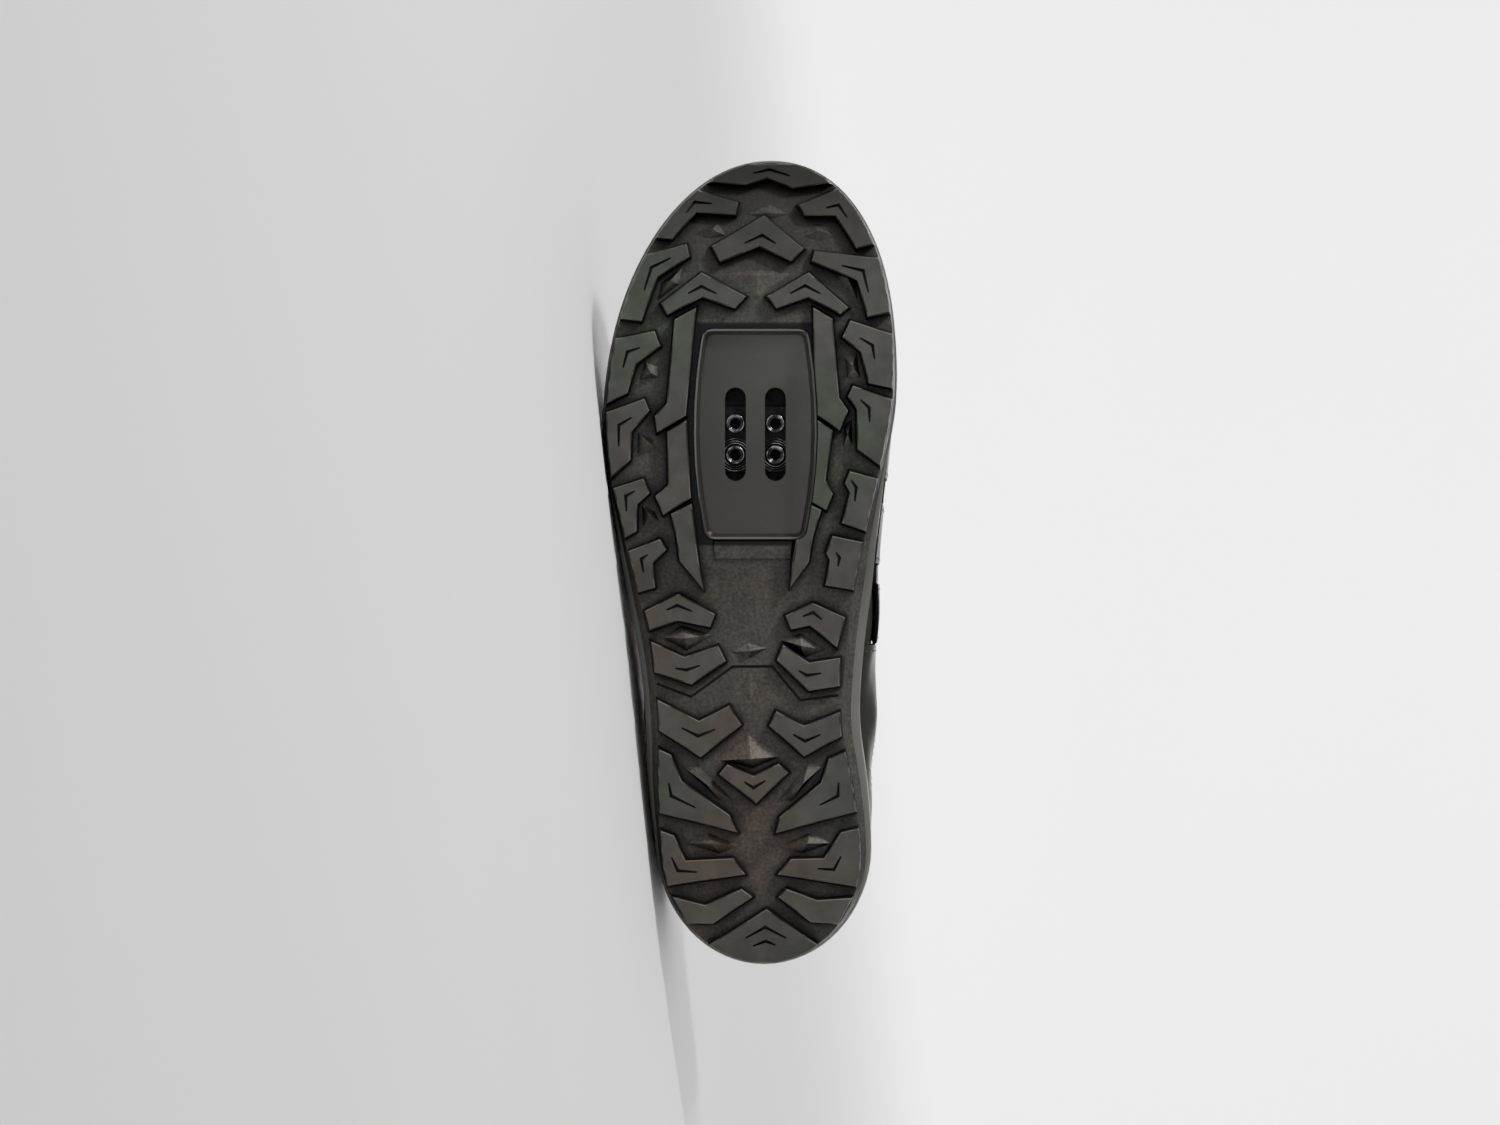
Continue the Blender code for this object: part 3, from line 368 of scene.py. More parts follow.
def upper_top(along):
    """Where the wall ends at the collar and the throat, as a share of the quarter turn to the crown."""
    top = between(UPPER, along, "top")
    if along >= THROAT_FRONT:
        return 1.0
    if along > THROAT_SHOULDER:
        share = (along - THROAT_SHOULDER) / (THROAT_FRONT - THROAT_SHOULDER)
        return 1 - (1 - top) * math.sqrt(1 - share * share)
    return top


def upper_point(side, along, turn):
    """A point of the upper's outer face in the shoe's own axes; turn is -1 at the sole, 1 at the crown."""
    rounding = end_rounding(along)
    foot = between(UPPER, along, "foot_centre") + side * rounding * between(UPPER, along, "foot_half")
    belly = between(UPPER, along, "belly_centre") + side * rounding * between(UPPER, along, "belly_half")
    belly_centre = between(UPPER, along, "belly_centre")
    middle = belly_centre + (between(UPPER, along, "crown_side") - belly_centre) * rounding
    low = bed_height(upper_x(along) / SOLE_LENGTH) + GAP
    widest = max(INSTEP_HEIGHT * between(UPPER, along, "belly_height"), low + UPPER_WALL)
    crown = INSTEP_HEIGHT * between(UPPER, along, "crown_height")
    if along > TOE_DROP_START:
        drop = 1 - rounding ** TOE_DROP_POWER
        crown -= (crown - widest) * (1 - TOE_TIP_CROWN) * drop
    power = between(UPPER, along, "fullness")
    if turn < 0:
        y = belly + (foot - belly) * turn * turn
        z = widest + (widest - low) * turn
    else:
        angle = min(turn, 1.0) * math.pi / 2
        y = middle + (belly - middle) * max(0.0, math.cos(angle)) ** power
        z = widest + (crown - widest) * math.sin(angle) ** power
    heel_fade = max(0.0, 1 - along / HEEL_LEAN_REACH) ** 2
    toe_fade = max(0.0, 1 - (1 - along) / TOE_LEAN_REACH) ** 2
    rise = max(0.0, z - widest) / (INSTEP_HEIGHT - widest)
    lean = HEEL_LEAN * heel_fade * rise ** HEEL_LEAN_POWER - TOE_LEAN * toe_fade * rise
    return Vector((upper_x(along) + lean, BALL_WIDTH * y, z))


def crease_depth(side, along, turn):
    """How far the soft troughs sink the upper here."""
    depth = 0.0
    ridge_place, ridge_height = 1.9, 0.45
    for crease in CREASES:
        if crease.side and crease.side != side:
            continue
        share = (turn - crease.low) / (crease.high - crease.low)
        if not 0 < share < 1:
            continue
        across = (along - crease.along - crease.lean * (turn - crease.low)) * SOLE_LENGTH / crease.half
        # A trough with a low ridge on each side
        trough = math.exp(-across * across)
        trough -= ridge_height * math.exp(-(abs(across) - ridge_place) ** 2)
        depth += crease.depth * MM * trough * math.sin(math.pi * share) ** 0.8
    return depth


def across_middle(side, along, turn):
    """A point of the upper that may lie past the middle of the heel or toe, on the other side."""
    if along < 0:
        return upper_point(-side, -along, turn)
    if along > 1:
        return upper_point(-side, 2 - along, turn)
    return upper_point(side, along, turn)


def lifted(side, along, turn, lift=0.0):
    """A point at a distance from the upper's outer face, with its creases."""
    step = 0.004
    here = upper_point(side, along, turn)
    run = across_middle(side, along + step, turn) - across_middle(side, along - step, turn)
    climb = upper_point(side, along, min(1.0, turn + step))
    climb -= upper_point(side, along, max(-1.0, turn - step))
    normal = climb.cross(run) * side
    if normal.length < 1e-12:
        return here
    return here + normal.normalized() * (lift - crease_depth(side, along, turn))


def sole_side(along, across, flare=0.0):
    """Distance to the medial side of a share of the sole's half width, with the side wall's flare."""
    row_flare = "flare_medial" if across > 0 else "flare_lateral"
    half = between(OUTLINE, along, "half") + flare * between(OUTLINE, along, row_flare)
    return BALL_WIDTH * (between(OUTLINE, along, "centre") + across * half * end_rounding(along))


# Materials

RUBBER_TONE = (0.74, 0.74, 0.71)


class Shader:
    """A Principled material with helpers for its node tree."""

    def __init__(self, name, roughness=0.6, metallic=0.0, specular=0.5):
        self.material = bpy.data.materials.new(name)
        self.material.use_nodes = True
        self.tree = self.material.node_tree
        self.shader = self.tree.nodes["Principled BSDF"]
        self.shader.inputs["Roughness"].default_value = roughness
        self.shader.inputs["Metallic"].default_value = metallic
        self.shader.inputs["Specular IOR Level"].default_value = specular
        self.place = self.add("ShaderNodeTexCoord").outputs["Object"]
        self.normal = None

    def add(self, kind, **values):
        node = self.tree.nodes.new(kind)
        for key, value in values.items():
            setattr(node, key, value)
        return node

    def link(self, source, target):
        self.tree.links.new(source, target)

    def texture(self, kind, scale, place, **values):
        node = self.add(kind, **values)
        node.inputs["Scale"].default_value = scale
        self.link(place, node.inputs["Vector"])
        return node

    def noise(self, scale, detail, distortion=0.0):
        node = self.texture("ShaderNodeTexNoise", scale, self.place)
        node.inputs["Detail"].default_value = detail
        node.inputs["Distortion"].default_value = distortion
        return node.outputs["Fac"]

    def drift(self, scale, detail, *stops):
        """Soft clouds of tones."""
        return self.ramp(self.noise(scale, detail), *stops)

    def grain(self, scale):
        """Distance to the edges of small cells."""
        node = self.texture("ShaderNodeTexVoronoi", scale, self.place, feature="DISTANCE_TO_EDGE")
        return node.outputs["Distance"]

    def plan(self):
        """Places along and across the sole, in metres, from the map of its plan."""
        split = self.add("ShaderNodeSeparateXYZ")
        self.link(self.add("ShaderNodeUVMap", uv_map="plan").outputs["UV"], split.inputs[0])
        return split.outputs[0], split.outputs[1]

    def wave(self, direction, scale, place):
        return self.texture("ShaderNodeTexWave", scale, place, bands_direction=direction).outputs["Fac"]

    def math(self, operation, first, second):
        node = self.add("ShaderNodeMath", operation=operation)
        for slot, value in zip(node.inputs, (first, second)):
            if isinstance(value, (int, float)):
                slot.default_value = value
            else:
                self.link(value, slot)
        return node.outputs[0]

    def ramp(self, source, *stops):
        """A colour ramp: each stop is a place and a grey or a colour."""
        node = self.add("ShaderNodeValToRGB")
        elements = node.color_ramp.elements
        while len(elements) < len(stops):
            elements.new(0.5)
        for element, (position, colour) in zip(elements, stops):
            element.position = position
            element.color = (*colour, 1.0) if isinstance(colour, tuple) else (colour, colour, colour, 1.0)
        self.link(source, node.inputs["Fac"])
        return node.outputs["Color"]

    def mix(self, factor, first, second, blend="MIX"):
        node = self.add("ShaderNodeMix", data_type="RGBA", blend_type=blend)
        sockets = {"Factor": node.inputs[0], "A": node.inputs[6], "B": node.inputs[7]}
        for key, value in (("Factor", factor), ("A", first), ("B", second)):
            if isinstance(value, tuple):
                sockets[key].default_value = (*value, 1.0)
            elif isinstance(value, (int, float)):
                sockets[key].default_value = value
            else:
                self.link(value, sockets[key])
        return node.outputs[2]

    def pocket_edge(self):
        """Distance outwards from the cleat recess's edge, in metres, from the map of the sole's plan."""
        along, across = self.plan()
        run = self.math("ABSOLUTE", self.math("SUBTRACT", along, POCKET_MIDDLE), 0.0)
        share = self.math("DIVIDE", run, POCKET_LENGTH / 2)
        bulge = self.math("MULTIPLY", self.math("MULTIPLY", share, share), -POCKET_BULGE)
        half = self.math("ADD", bulge, POCKET_HALF_WIDTH + POCKET_BULGE)
        off = self.math("ABSOLUTE", self.math("SUBTRACT", across, POCKET_SIDE), 0.0)
        beyond_end = self.math("SUBTRACT", run, POCKET_LENGTH / 2)
        return self.math("MAXIMUM", beyond_end, self.math("SUBTRACT", off, half))

    def attribute(self, name):
        return self.add("ShaderNodeAttribute", attribute_name=name).outputs["Fac"]

    def crevice_shade(self, reach, darkest=0.25):
        """Painted shade, with some dirt: dark in the corners where dirt and shade gather, white in the
        open.
        """
        node = self.add("ShaderNodeAmbientOcclusion", samples=6)
        node.inputs["Distance"].default_value = reach
        return self.ramp(node.outputs["AO"], (darkest, 0.06), (0.85, 1.0))

    def times(self, base, factor):
        return self.mix(1.0, base, factor, "MULTIPLY")

    def colour(self, source):
        self.link(source, self.shader.inputs["Base Color"])

    def roughness(self, source):
        self.link(source, self.shader.inputs["Roughness"])

    def sheen(self, weight, roughness):
        self.shader.inputs["Sheen Weight"].default_value = weight
        self.shader.inputs["Sheen Roughness"].default_value = roughness

    def bump(self, height, distance, strength=1.0):
        node = self.add("ShaderNodeBump")
        node.inputs["Distance"].default_value = distance
        node.inputs["Strength"].default_value = strength
        self.link(height, node.inputs["Height"])
        if self.normal is not None:
            self.link(self.normal, node.inputs["Normal"])
        self.normal = node.outputs["Normal"]
        self.link(self.normal, self.shader.inputs["Normal"])


def tread_rubber():
    """Moulded rubber: brown and green drifts of grey, stippled low ground, smoother lug faces; painted
    shade on lug walls, in sipes, in corners, in the tray's gap and towards the toe, and painted highlight
    on rims and facets.
    """
    look = Shader("tread_rubber", roughness=0.6, specular=0.2)
    drift = look.ramp(look.noise(15, 2, distortion=0.6), (0.36, (0.050, 0.056, 0.046)),
                      (0.50, (0.056, 0.055, 0.052)), (0.66, (0.066, 0.054, 0.048)))
    mottle = look.drift(140, 5, (0.30, 0.80), (0.70, 1.15))
    faces = look.times(look.times(drift, RUBBER_TONE), mottle)
    low = look.attribute("relief")
    speckle = look.drift(900, 2, (0.35, 0.70), (0.70, 1.25))
    base = look.mix(low, faces, look.times(look.times(faces, (0.90, 0.88, 0.86)), speckle))
    # Painted shade: lug walls, sipe floors and the upper parts of steep walls go nearly black
    base = look.mix(look.attribute("side"), base, look.times(base, (0.06, 0.06, 0.06)))
    # Lighter rims and facets: the rims partly wear and partly painted highlight, the facets polish with a
    # painted highlight where they face the key light
    base = look.mix(look.attribute("edge"), base, look.times(base, (1.9, 1.9, 1.85)))
    # Painted shade: the tread darkens towards the toe tip
    share = look.math("DIVIDE", look.plan()[0], SOLE_LENGTH)
    base = look.times(base, look.ramp(share, (0.80, 1.0), (0.93, 0.42), (0.985, 0.16)))
    # Painted shade: the low ground along the cleat tray's edge goes black, as a shaded gap
    edge = look.math("MULTIPLY", look.pocket_edge(), 100.0)
    gap_shade = look.ramp(edge, (0.0, 0.03), (0.15, 0.03), (0.24, 1.0))
    base = look.mix(look.attribute("low"), base, look.times(base, gap_shade))
    # Painted shade in corners and beside the lugs, with some dirt
    look.colour(look.times(base, look.crevice_shade(0.0040, 0.48)))
    look.roughness(look.drift(60, 4, (0.35, 0.46), (0.70, 0.64)))
    look.bump(look.math("MULTIPLY", look.noise(1500, 2), low), 0.00025, 0.7)
    look.bump(look.noise(700, 2), 0.00006, 0.5)
    return look.material


def side_rubber():
    look = Shader("side_wall_rubber", roughness=0.5, specular=0.14)
    tone = look.drift(30, 3, (0.35, (0.070, 0.071, 0.066)), (0.65, (0.088, 0.084, 0.077)))
    # Painted shade in the side wall's corners, with some dirt
    look.colour(look.times(tone, look.crevice_shade(0.002)))
    look.roughness(look.drift(80, 4, (0.35, 0.42), (0.70, 0.58)))
    look.bump(look.noise(1200, 2), 0.00008, 0.5)
    return look.material


def plain_finish(name, tones, *bumps, gloss=None, **values):
    """Drifting tones, drifting gloss if it is given, and bumps: scale, detail, distance and strength."""
    look = Shader(name, **values)
    look.colour(look.drift(*tones))
    if gloss:
        look.roughness(look.drift(*gloss))
    for scale, detail, distance, strength in bumps:
        look.bump(look.noise(scale, detail), distance, strength)
    return look.material


def tray_plastic():
    """Satin plate with a greenish cast at the front and a brown one at the rear, a painted highlight along
    its rim and painted shade in its corners.
    """
    look = Shader("tray_plastic", roughness=0.34, specular=0.45)
    run = look.math("DIVIDE", look.math("SUBTRACT", look.plan()[0], POCKET_MIDDLE), POCKET_LENGTH)
    run = look.math("ADD", run, 0.5)
    drift = look.ramp(run, (0.15, (0.018, 0.0155, 0.0142)), (0.45, (0.0185, 0.0185, 0.0178)),
                      (0.75, (0.0225, 0.0240, 0.0195)))
    # Painted highlight: a bright band just inside the tray's rim
    edge = look.math("MULTIPLY", look.pocket_edge(), -100.0)
    rim = look.ramp(edge, (0.0, 0.15), (0.04, 0.15), (0.055, 1.0), (0.095, 1.0), (0.125, 0.0))
    drift = look.mix(rim, drift, (0.066, 0.066, 0.062))
    # Painted shade in the tray's corners, with some dirt
    look.colour(look.times(drift, look.crevice_shade(0.003)))
    look.roughness(look.drift(50, 4, (0.35, 0.30), (0.70, 0.42)))
    look.bump(look.noise(900, 2), 0.00003, 0.4)
    return look.material


def synthetic_leather(name, tone):
    """Fine-grained leather cloth with a faint drift of its tone."""
    look = Shader(name, roughness=0.5, specular=0.07)
    shade = tuple(c * 0.78 for c in tone)
    look.colour(look.drift(45, 4, (0.35, shade), (0.65, tone)))
    look.roughness(look.drift(90, 4, (0.30, 0.42), (0.70, 0.58)))
    look.bump(look.grain(1500), 0.00010, 0.55)
    look.bump(look.noise(260, 3), 0.00012, 0.5)
    return look.material


def mesh_fabric():
    """Knitted mesh whose rows follow the upper's own grid."""
    look = Shader("mesh_fabric", roughness=0.85, specular=0.08)
    rows = look.add("ShaderNodeUVMap", uv_map="UVMap").outputs["UV"]
    warp = look.wave("X", 330, rows)
    weft = look.wave("Y", 330, rows)
    weave = look.math("MULTIPLY", warp, weft)
    tone = look.ramp(weave, (0.05, (0.006, 0.006, 0.0065)), (0.55, (0.019, 0.019, 0.020)))
    fade = look.drift(60, 3, (0.3, 0.85), (0.7, 1.15))
    look.colour(look.times(tone, fade))
    look.bump(weave, 0.00035, 0.8)
    look.sheen(0.04, 0.5)
    return look.material


def lining_fabric(name, tone):
    look = Shader(name, roughness=0.9, specular=0.15)
    weave = look.math("MULTIPLY", look.wave("X", 420, look.place), look.wave("Z", 420, look.place))
    shade = tuple(c * 0.6 for c in tone)
    look.colour(look.drift(500, 3, (0.3, shade), (0.7, tone)))
    look.bump(weave, 0.00015, 0.5)
    look.bump(look.noise(120, 3), 0.0005, 0.35)
    look.sheen(0.06, 0.45)
    return look.material


# Making pieces


def smooth(piece, sharp):
    """Shade a piece smooth apart from its sharp edges."""
    piece.data.shade_smooth()
    piece.data.set_sharp_from_angle(angle=math.radians(sharp))
    return piece


def settle(piece, sharp=38.0):
    """Turn a piece's modifiers into its mesh."""
    view = bpy.context.evaluated_depsgraph_get()
    mesh = bpy.data.meshes.new_from_object(piece.evaluated_get(view))
    piece.modifiers.clear()
    piece.data = mesh
    return smooth(piece, sharp)


def bevel(piece, width, angle, segments=2):
    """Round a piece's edges that are sharper than an angle."""
    edge = piece.modifiers.new("edge", "BEVEL")
    edge.width = width
    edge.segments = segments
    edge.limit_method = "ANGLE"
    edge.angle_limit = math.radians(angle)


def put(name, data):
    """A new object in the scene."""
    thing = bpy.data.objects.new(name, data)
    bpy.context.scene.collection.objects.link(thing)
    return thing


def put_shape(name, shape):
    mesh = bpy.data.meshes.new(name)
    shape.to_mesh(mesh)
    shape.free()
    return put(name, mesh)


def add_piece(name, shape, material, slot, *replaced):
    """Give the scene a piece made in the shoe's own axes."""
    shape.transform(SHOE)
    piece = put_shape(name, shape)
    piece.data.materials.append(material)
    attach(piece, "root")
    if replaced:
        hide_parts(*replaced)
    return piece


def grid_shape(*patches):
    """A sheet over patches of columns of surface places, with a map in metres for its weave."""
    shape = bmesh.new()
    layer = shape.loops.layers.uv.new("UVMap")
    for columns in patches:
        add_patch(shape, layer, columns)
    bmesh.ops.remove_doubles(shape, verts=shape.verts, dist=1e-5)
    bmesh.ops.dissolve_degenerate(shape, dist=1e-6, edges=shape.edges)
    return shape


def add_patch(shape, layer, columns):
    places = [[lifted(*place) for place in column] for column in columns]
    grid = [[shape.verts.new(spot) for spot in column] for column in places]
    middle = len(places[0]) // 2
    run = [0.0]
    for left, right in zip(places, places[1:]):
        run.append(run[-1] + (right[middle] - left[middle]).length)
    rises = []
    for column in places:
        rise = [0.0]
        for low, high in zip(column, column[1:]):
            rise.append(rise[-1] + (high - low).length)
        rises.append(rise)
    for i in range(len(grid) - 1):
        for j in range(len(grid[0]) - 1):
            face = shape.faces.new((grid[i][j], grid[i + 1][j], grid[i + 1][j + 1], grid[i][j + 1]))
            corners = ((i, j), (i + 1, j), (i + 1, j + 1), (i, j + 1))
            for loop, (a, b) in zip(face.loops, corners):
                loop[layer].uv = (run[a], rises[a][b])


def skin(shape, rings, closed=True):
    """Faces between rows of vertices, which may be closed rings."""
    for low, high in zip(rings, rings[1:]):
        for i in range(len(low) if closed else len(low) - 1):
            j = (i + 1) % len(low)
            shape.faces.new((low[i], low[j], high[j], high[i]))


def circle(centre, across, out, radius, sides):
    """Points round a centre, in the plane of two directions."""
    turns = [2 * math.pi * k / sides for k in range(sides)]
    return [centre + (across * math.cos(a) + out * math.sin(a)) * radius for a in turns]


def ring_shape(rings, closed=False):
    """A skin over rings of points, capped at its ends unless the rings close on themselves."""
    shape = bmesh.new()
    layers = [[shape.verts.new(spot) for spot in ring] for ring in rings]
    if closed:
        layers.append(layers[0])
    else:
        shape.faces.new(layers[0][::-1])
        shape.faces.new(layers[-1])
    skin(shape, layers)
    bmesh.ops.recalc_face_normals(shape, faces=shape.faces)
    return shape


def wall_piece(name, columns, inner, outer, material, slot, *replaced, rounding=0.0004, lining=None):
    """A sheet with thickness and rounded rims, between two distances from the upper's outer face."""
    patches = columns if isinstance(columns[0][0], list) else [columns]
    piece = add_piece(name, grid_shape(*patches), material, slot, *replaced)
    wall = piece.modifiers.new("wall", "SOLIDIFY")
    if lining:
        piece.data.materials.append(lining)
        wall.material_offset = 1
    wall.thickness = outer - inner
    wall.offset = (outer + inner) / (outer - inner)
    wall.use_even_offset = True
    wall.use_quality_normals = True
    bevel(piece, rounding, 50)
    return settle(piece)


def overlay(name, columns, looks, *replaced):
    """A sewn-on panel of the upper."""
    return wall_piece(name, columns, SOFT_GAP, SOFT_GAP + OVERLAY_THICKNESS, looks["overlay"],
                      "overlay_synthetic", *replaced)


def ring_piece(name, rings, material, slot, closed=False):
    return smooth(add_piece(name, ring_shape(rings, closed), material, slot), 50)


def binding(name, places, radius, depth, material, slot):
    """A round tape folded over the rim that runs through a closed loop of surface places."""
    middle = [lifted(*place, -depth) for place in places]
    rings = []
    for i, place in enumerate(places):
        out = lifted(*place, MM) - lifted(*place, 0.0)
        run = (middle[(i + 1) % len(middle)] - middle[i - 1]).normalized()
        across = run.cross(out).normalized()
        rings.append(circle(middle[i], across, across.cross(run), radius, 10))
    return ring_piece(name, rings, material, slot, closed=True)


def tree_of(*pieces):
    """A search tree of pieces in the row's frame."""
    shape = bmesh.new()
    for piece in pieces:
        shape.from_mesh(piece.data)
    tree = BVHTree.FromBMesh(shape)
    shape.free()
    return tree


def stitches(name, paths, trees, material, slot):
    """Rows of stitches laid on a surface along paths of points in the shoe's own axes."""
    length, pitch, width, lift = 0.0018, 0.0026, 0.00042, 0.00010
    shape = bmesh.new()
    for path, tree in zip(paths, trees):
        points = [SHOE @ point for point in path]
        travelled, goal = 0.0, pitch / 2
        for start, end in zip(points, points[1:]):
            span = (end - start).length
            while goal < travelled + span:
                spot = start.lerp(end, (goal - travelled) / span)
                place, normal, _, _ = tree.find_nearest(spot)
                along = (end - start).normalized()
                across = normal.cross(along).normalized()
                along = across.cross(normal)
                ends = [place + along * (s * length / 2) - normal * lift for s in (-1, 1)]
                ring = [place + across * (width / 2) * c + normal * (lift + width * 0.35 * h)
                        for c, h in ((1, 0), (0.5, 1), (-0.5, 1), (-1, 0))]
                tips = [shape.verts.new(p) for p in ends]
                body = []
                for shift in (-0.28, 0.28):
                    body.append([shape.verts.new(p + along * length * shift) for p in ring])
                for a, b in ((0, 1), (1, 2), (2, 3), (3, 0)):
                    shape.faces.new((body[0][a], body[1][a], body[1][b], body[0][b]))
                    shape.faces.new((tips[0], body[0][a], body[0][b]))
                    shape.faces.new((tips[1], body[1][b], body[1][a]))
                goal += pitch
            travelled += span
    bmesh.ops.recalc_face_normals(shape, faces=shape.faces)
    shape.transform(SHOE_BACK)
    piece = add_piece(name, shape, material, slot)
    piece.data.shade_smooth()
    return piece


# The sole


def cad_solid(node):
    """A node's solid in the shoe's own axes, welded, without the normals that came with it."""
    shape = bmesh.new()
    mesh = NODES[node].data
    corners = [shape.verts.new(vertex.co) for vertex in mesh.vertices]
    for face in mesh.polygons:
        shape.faces.new([corners[i] for i in face.vertices])
    bmesh.ops.remove_doubles(shape, verts=shape.verts, dist=2e-6)
    shape.transform(SHOE_BACK)
    return shape


def map_plan(piece):
    """Give a piece of the sole a map of its plan in the shoe's own axes, in metres."""
    layer = piece.data.uv_layers.new(name="plan")
    for loop in piece.data.loops:
        spot = SHOE_BACK @ piece.data.vertices[loop.vertex_index].co
        layer.data[loop.index].uv = (spot.x, spot.y)


def cad_copy(name, node, material, slot):
    """A new piece that starts from a node's solid."""
    return add_piece(name, cad_solid(node), material, slot, node)


def level_normal(along):
    """The outward normal of the tread's curved level."""
    climb = (tread_height(along + 0.005) - tread_height(along - 0.005)) / (0.01 * SOLE_LENGTH)
    return Vector((climb, 0.0, -1.0)).normalized()


def even_tread(shape):
    """Cut the sole across every few millimetres and set lug faces and base on their curved levels."""
    depths = (0.0, LUG_CHAMFER, LUG_HEIGHT, LUG_HEIGHT + BASE_THICKNESS)
    spare = 0.06 * MM
    kind = shape.faces.layers.int.new("level")
    shape.normal_update()
    for face in shape.faces:
        found = set()
        deepest = 0.0
        for vert in face.verts:
            depth = vert.co.z - tread_height(vert.co.x / SOLE_LENGTH)
            deepest = max(deepest, depth)
            near = [i for i, level in enumerate(depths) if abs(depth - level) < spare]
            found.add(near[0] if near else -1)
        level = level_normal(face.calc_center_median().x / SOLE_LENGTH)
        if found == {0} or deepest < SHALLOW * LUG_HEIGHT and level.dot(face.normal) > NEARLY_LEVEL:
            face[kind] = 1
        elif found == {0, 1}:
            face[kind] = 2
    for i in range(1, int(SOLE_LENGTH / EVEN_STEP)):
        everything = shape.verts[:] + shape.edges[:] + shape.faces[:]
        bmesh.ops.bisect_plane(shape, geom=everything, dist=1e-7, plane_co=(i * EVEN_STEP, 0, 0),
                               plane_no=(1, 0, 0))
    for vert in shape.verts:
        kinds = {face[kind] for face in vert.link_faces}
        if 1 in kinds:
            vert.co.z = tread_height(vert.co.x / SOLE_LENGTH)
        elif 2 in kinds:
            vert.co.z = tread_height(vert.co.x / SOLE_LENGTH) + LUG_CHAMFER


def sipe_cutter():
    """One closed sliver for each incised chevron, and the fine step across the waist."""
    shape = bmesh.new()

    def sliver(line, width, depth, tip):
        left, right = [], []
        for i, point in enumerate(line):
            before = (point - line[max(i - 1, 0)]).normalized()
            after = (line[min(i + 1, len(line) - 1)] - point).normalized()
            run = (before + after).normalized()
            inner = 0 < i < len(line) - 1
            reach = width / 2 * (1 / max(0.5, run.dot(after)) if inner else tip)
            across = Vector((-run.y, run.x)) * reach
            left.append(point + across)
            right.append(point - across)
        outline = left + right[::-1]
        low = [shape.verts.new((x, y, tread_height(x / SOLE_LENGTH) - MM)) for x, y in outline]
        high = [shape.verts.new((x, y, tread_height(x / SOLE_LENGTH) + depth)) for x, y in outline]
        shape.faces.new(low[::-1])
        shape.faces.new(high)
        skin(shape, (low, high))

    for row in SIPES:
        sliver([Vector(point) * MM for point in row], SIPE_WIDTH, SIPE_DEPTH, SIPE_TIP)
    sliver([Vector(point) * MM for point in STEP_LINE], STEP_WIDTH, LUG_HEIGHT + STEP_DEPTH, 1.0)
    bmesh.ops.recalc_face_normals(shape, faces=shape.faces)
    shape.transform(SHOE)
    return put_shape("sipes", shape)


def within(value, limits):
    return limits[0] < value < limits[1]


def mark_relief(piece):
    """Store what the rubber's material asks of each face: how low and steep it is, where walls and sipes
    get painted shade, where rims and facets get wear and painted highlight, or whether it is ground.
    """
    mesh = piece.data
    names = ("relief", "side", "edge", "low")
    for name in names:
        mesh.attributes.new(name, "FLOAT", "FACE")
    relief, side, edge, low = (mesh.attributes[name] for name in names)
    for face in mesh.polygons:
        centre = SHOE_BACK @ face.center
        along = centre.x / SOLE_LENGTH
        depth = (centre.z - tread_height(along)) / LUG_HEIGHT
        relief.data[face.index].value = clamp(depth * 1.6)
        normal = TURN_BACK @ face.normal
        facing = level_normal(along).dot(normal)
        low.data[face.index].value = 1.0 if depth > 0.5 else 0.0
        # Painted shade on the walls, darker the deeper they go
        side.data[face.index].value = clamp((SIDE_LEVEL - facing) / SIDE_FADE) * min(1.0, depth * 2 + 0.2)
        rim = within(facing, RIM_LEVEL) and within(depth, RIM_DEPTH)
        facet = within(facing, FACET_LEVEL) and within(depth, FACET_DEPTH)
        # Facets: a little lighter all over as polish, with a painted highlight where they face the key
        # light, towards the toe and the medial side
        polish_and_highlight = min(1.0, 0.45 + max(0.0, 0.6 * normal.x + normal.y))
        edge.data[face.index].value = 1.0 if rim else polish_and_highlight if facet else 0.0
        # Painted shade: full black on the sipes' floors and on steep faces in the upper part of the lugs
        floor = facing > 0.98 and abs(depth * LUG_HEIGHT - SIPE_DEPTH) < 0.25 * MM
        if floor or facing < STEEP and depth < SHALLOW:
            side.data[face.index].value = 1.0


def make_outsole(material):
    shape = cad_solid("outsole")
    even_tread(shape)
    outsole = add_piece("outsole_rubber", shape, material, "outsole_rubber", "outsole")
    cutter = sipe_cutter()
    cut = outsole.modifiers.new("sipes", "BOOLEAN")
    cut.operation = "DIFFERENCE"
    cut.object = cutter
    cut.use_self = True
    settle(outsole, 25.0)
    bpy.data.objects.remove(cutter, do_unlink=True)
    mark_relief(outsole)
    map_plan(outsole)


def paint_recess_shade(piece, material):
    """Give what lies behind the cleat tray a near-black material as painted shade, where it lies unlit."""
    piece.data.materials.append(material)
    reach = POCKET_LENGTH / 2 + 5 * MM
    for face in piece.data.polygons:
        spot = SHOE_BACK @ face.center
        inside = abs(spot.x - POCKET_MIDDLE) < reach and abs(spot.y) < POCKET_REACH
        if inside and spot.z < SOLE_HEIGHT and (TURN_BACK @ face.normal).z < 0.5:
            face.material_index = 1


def make_midsole(material, inside):
    midsole = settle(cad_copy("mid_sole", "midsole", material, "midsole_rubber"), 30.0)
    paint_recess_shade(midsole, inside)


def outline_loop(flare):
    """Points round the sole at a share of the side wall's flare: lateral side to the toe, then back."""
    places = stations(16, 64, 30)
    run = [(along, -1) for along in places] + [(along, 1) for along in places[-2:0:-1]]
    return [(along, Vector((along * SOLE_LENGTH, sole_side(along, side, flare)))) for along, side in run]


# The side wall's section: share of its height, share of the flare, bulge in mm
WALL_SECTION = (
    (0.02, 0.50, 0.00), (0.06, 0.60, 0.45), (0.14, 0.80, 0.75), (0.22, 0.95, 0.55), (0.30, 1.00, 0.10),
    (0.52, 0.98, -0.05), (0.70, 0.94, 0.05), (0.76, 0.93, 0.42), (0.86, 0.91, 0.60), (0.93, 0.85, 0.35),
    (0.96, 0.80, -0.10),
)


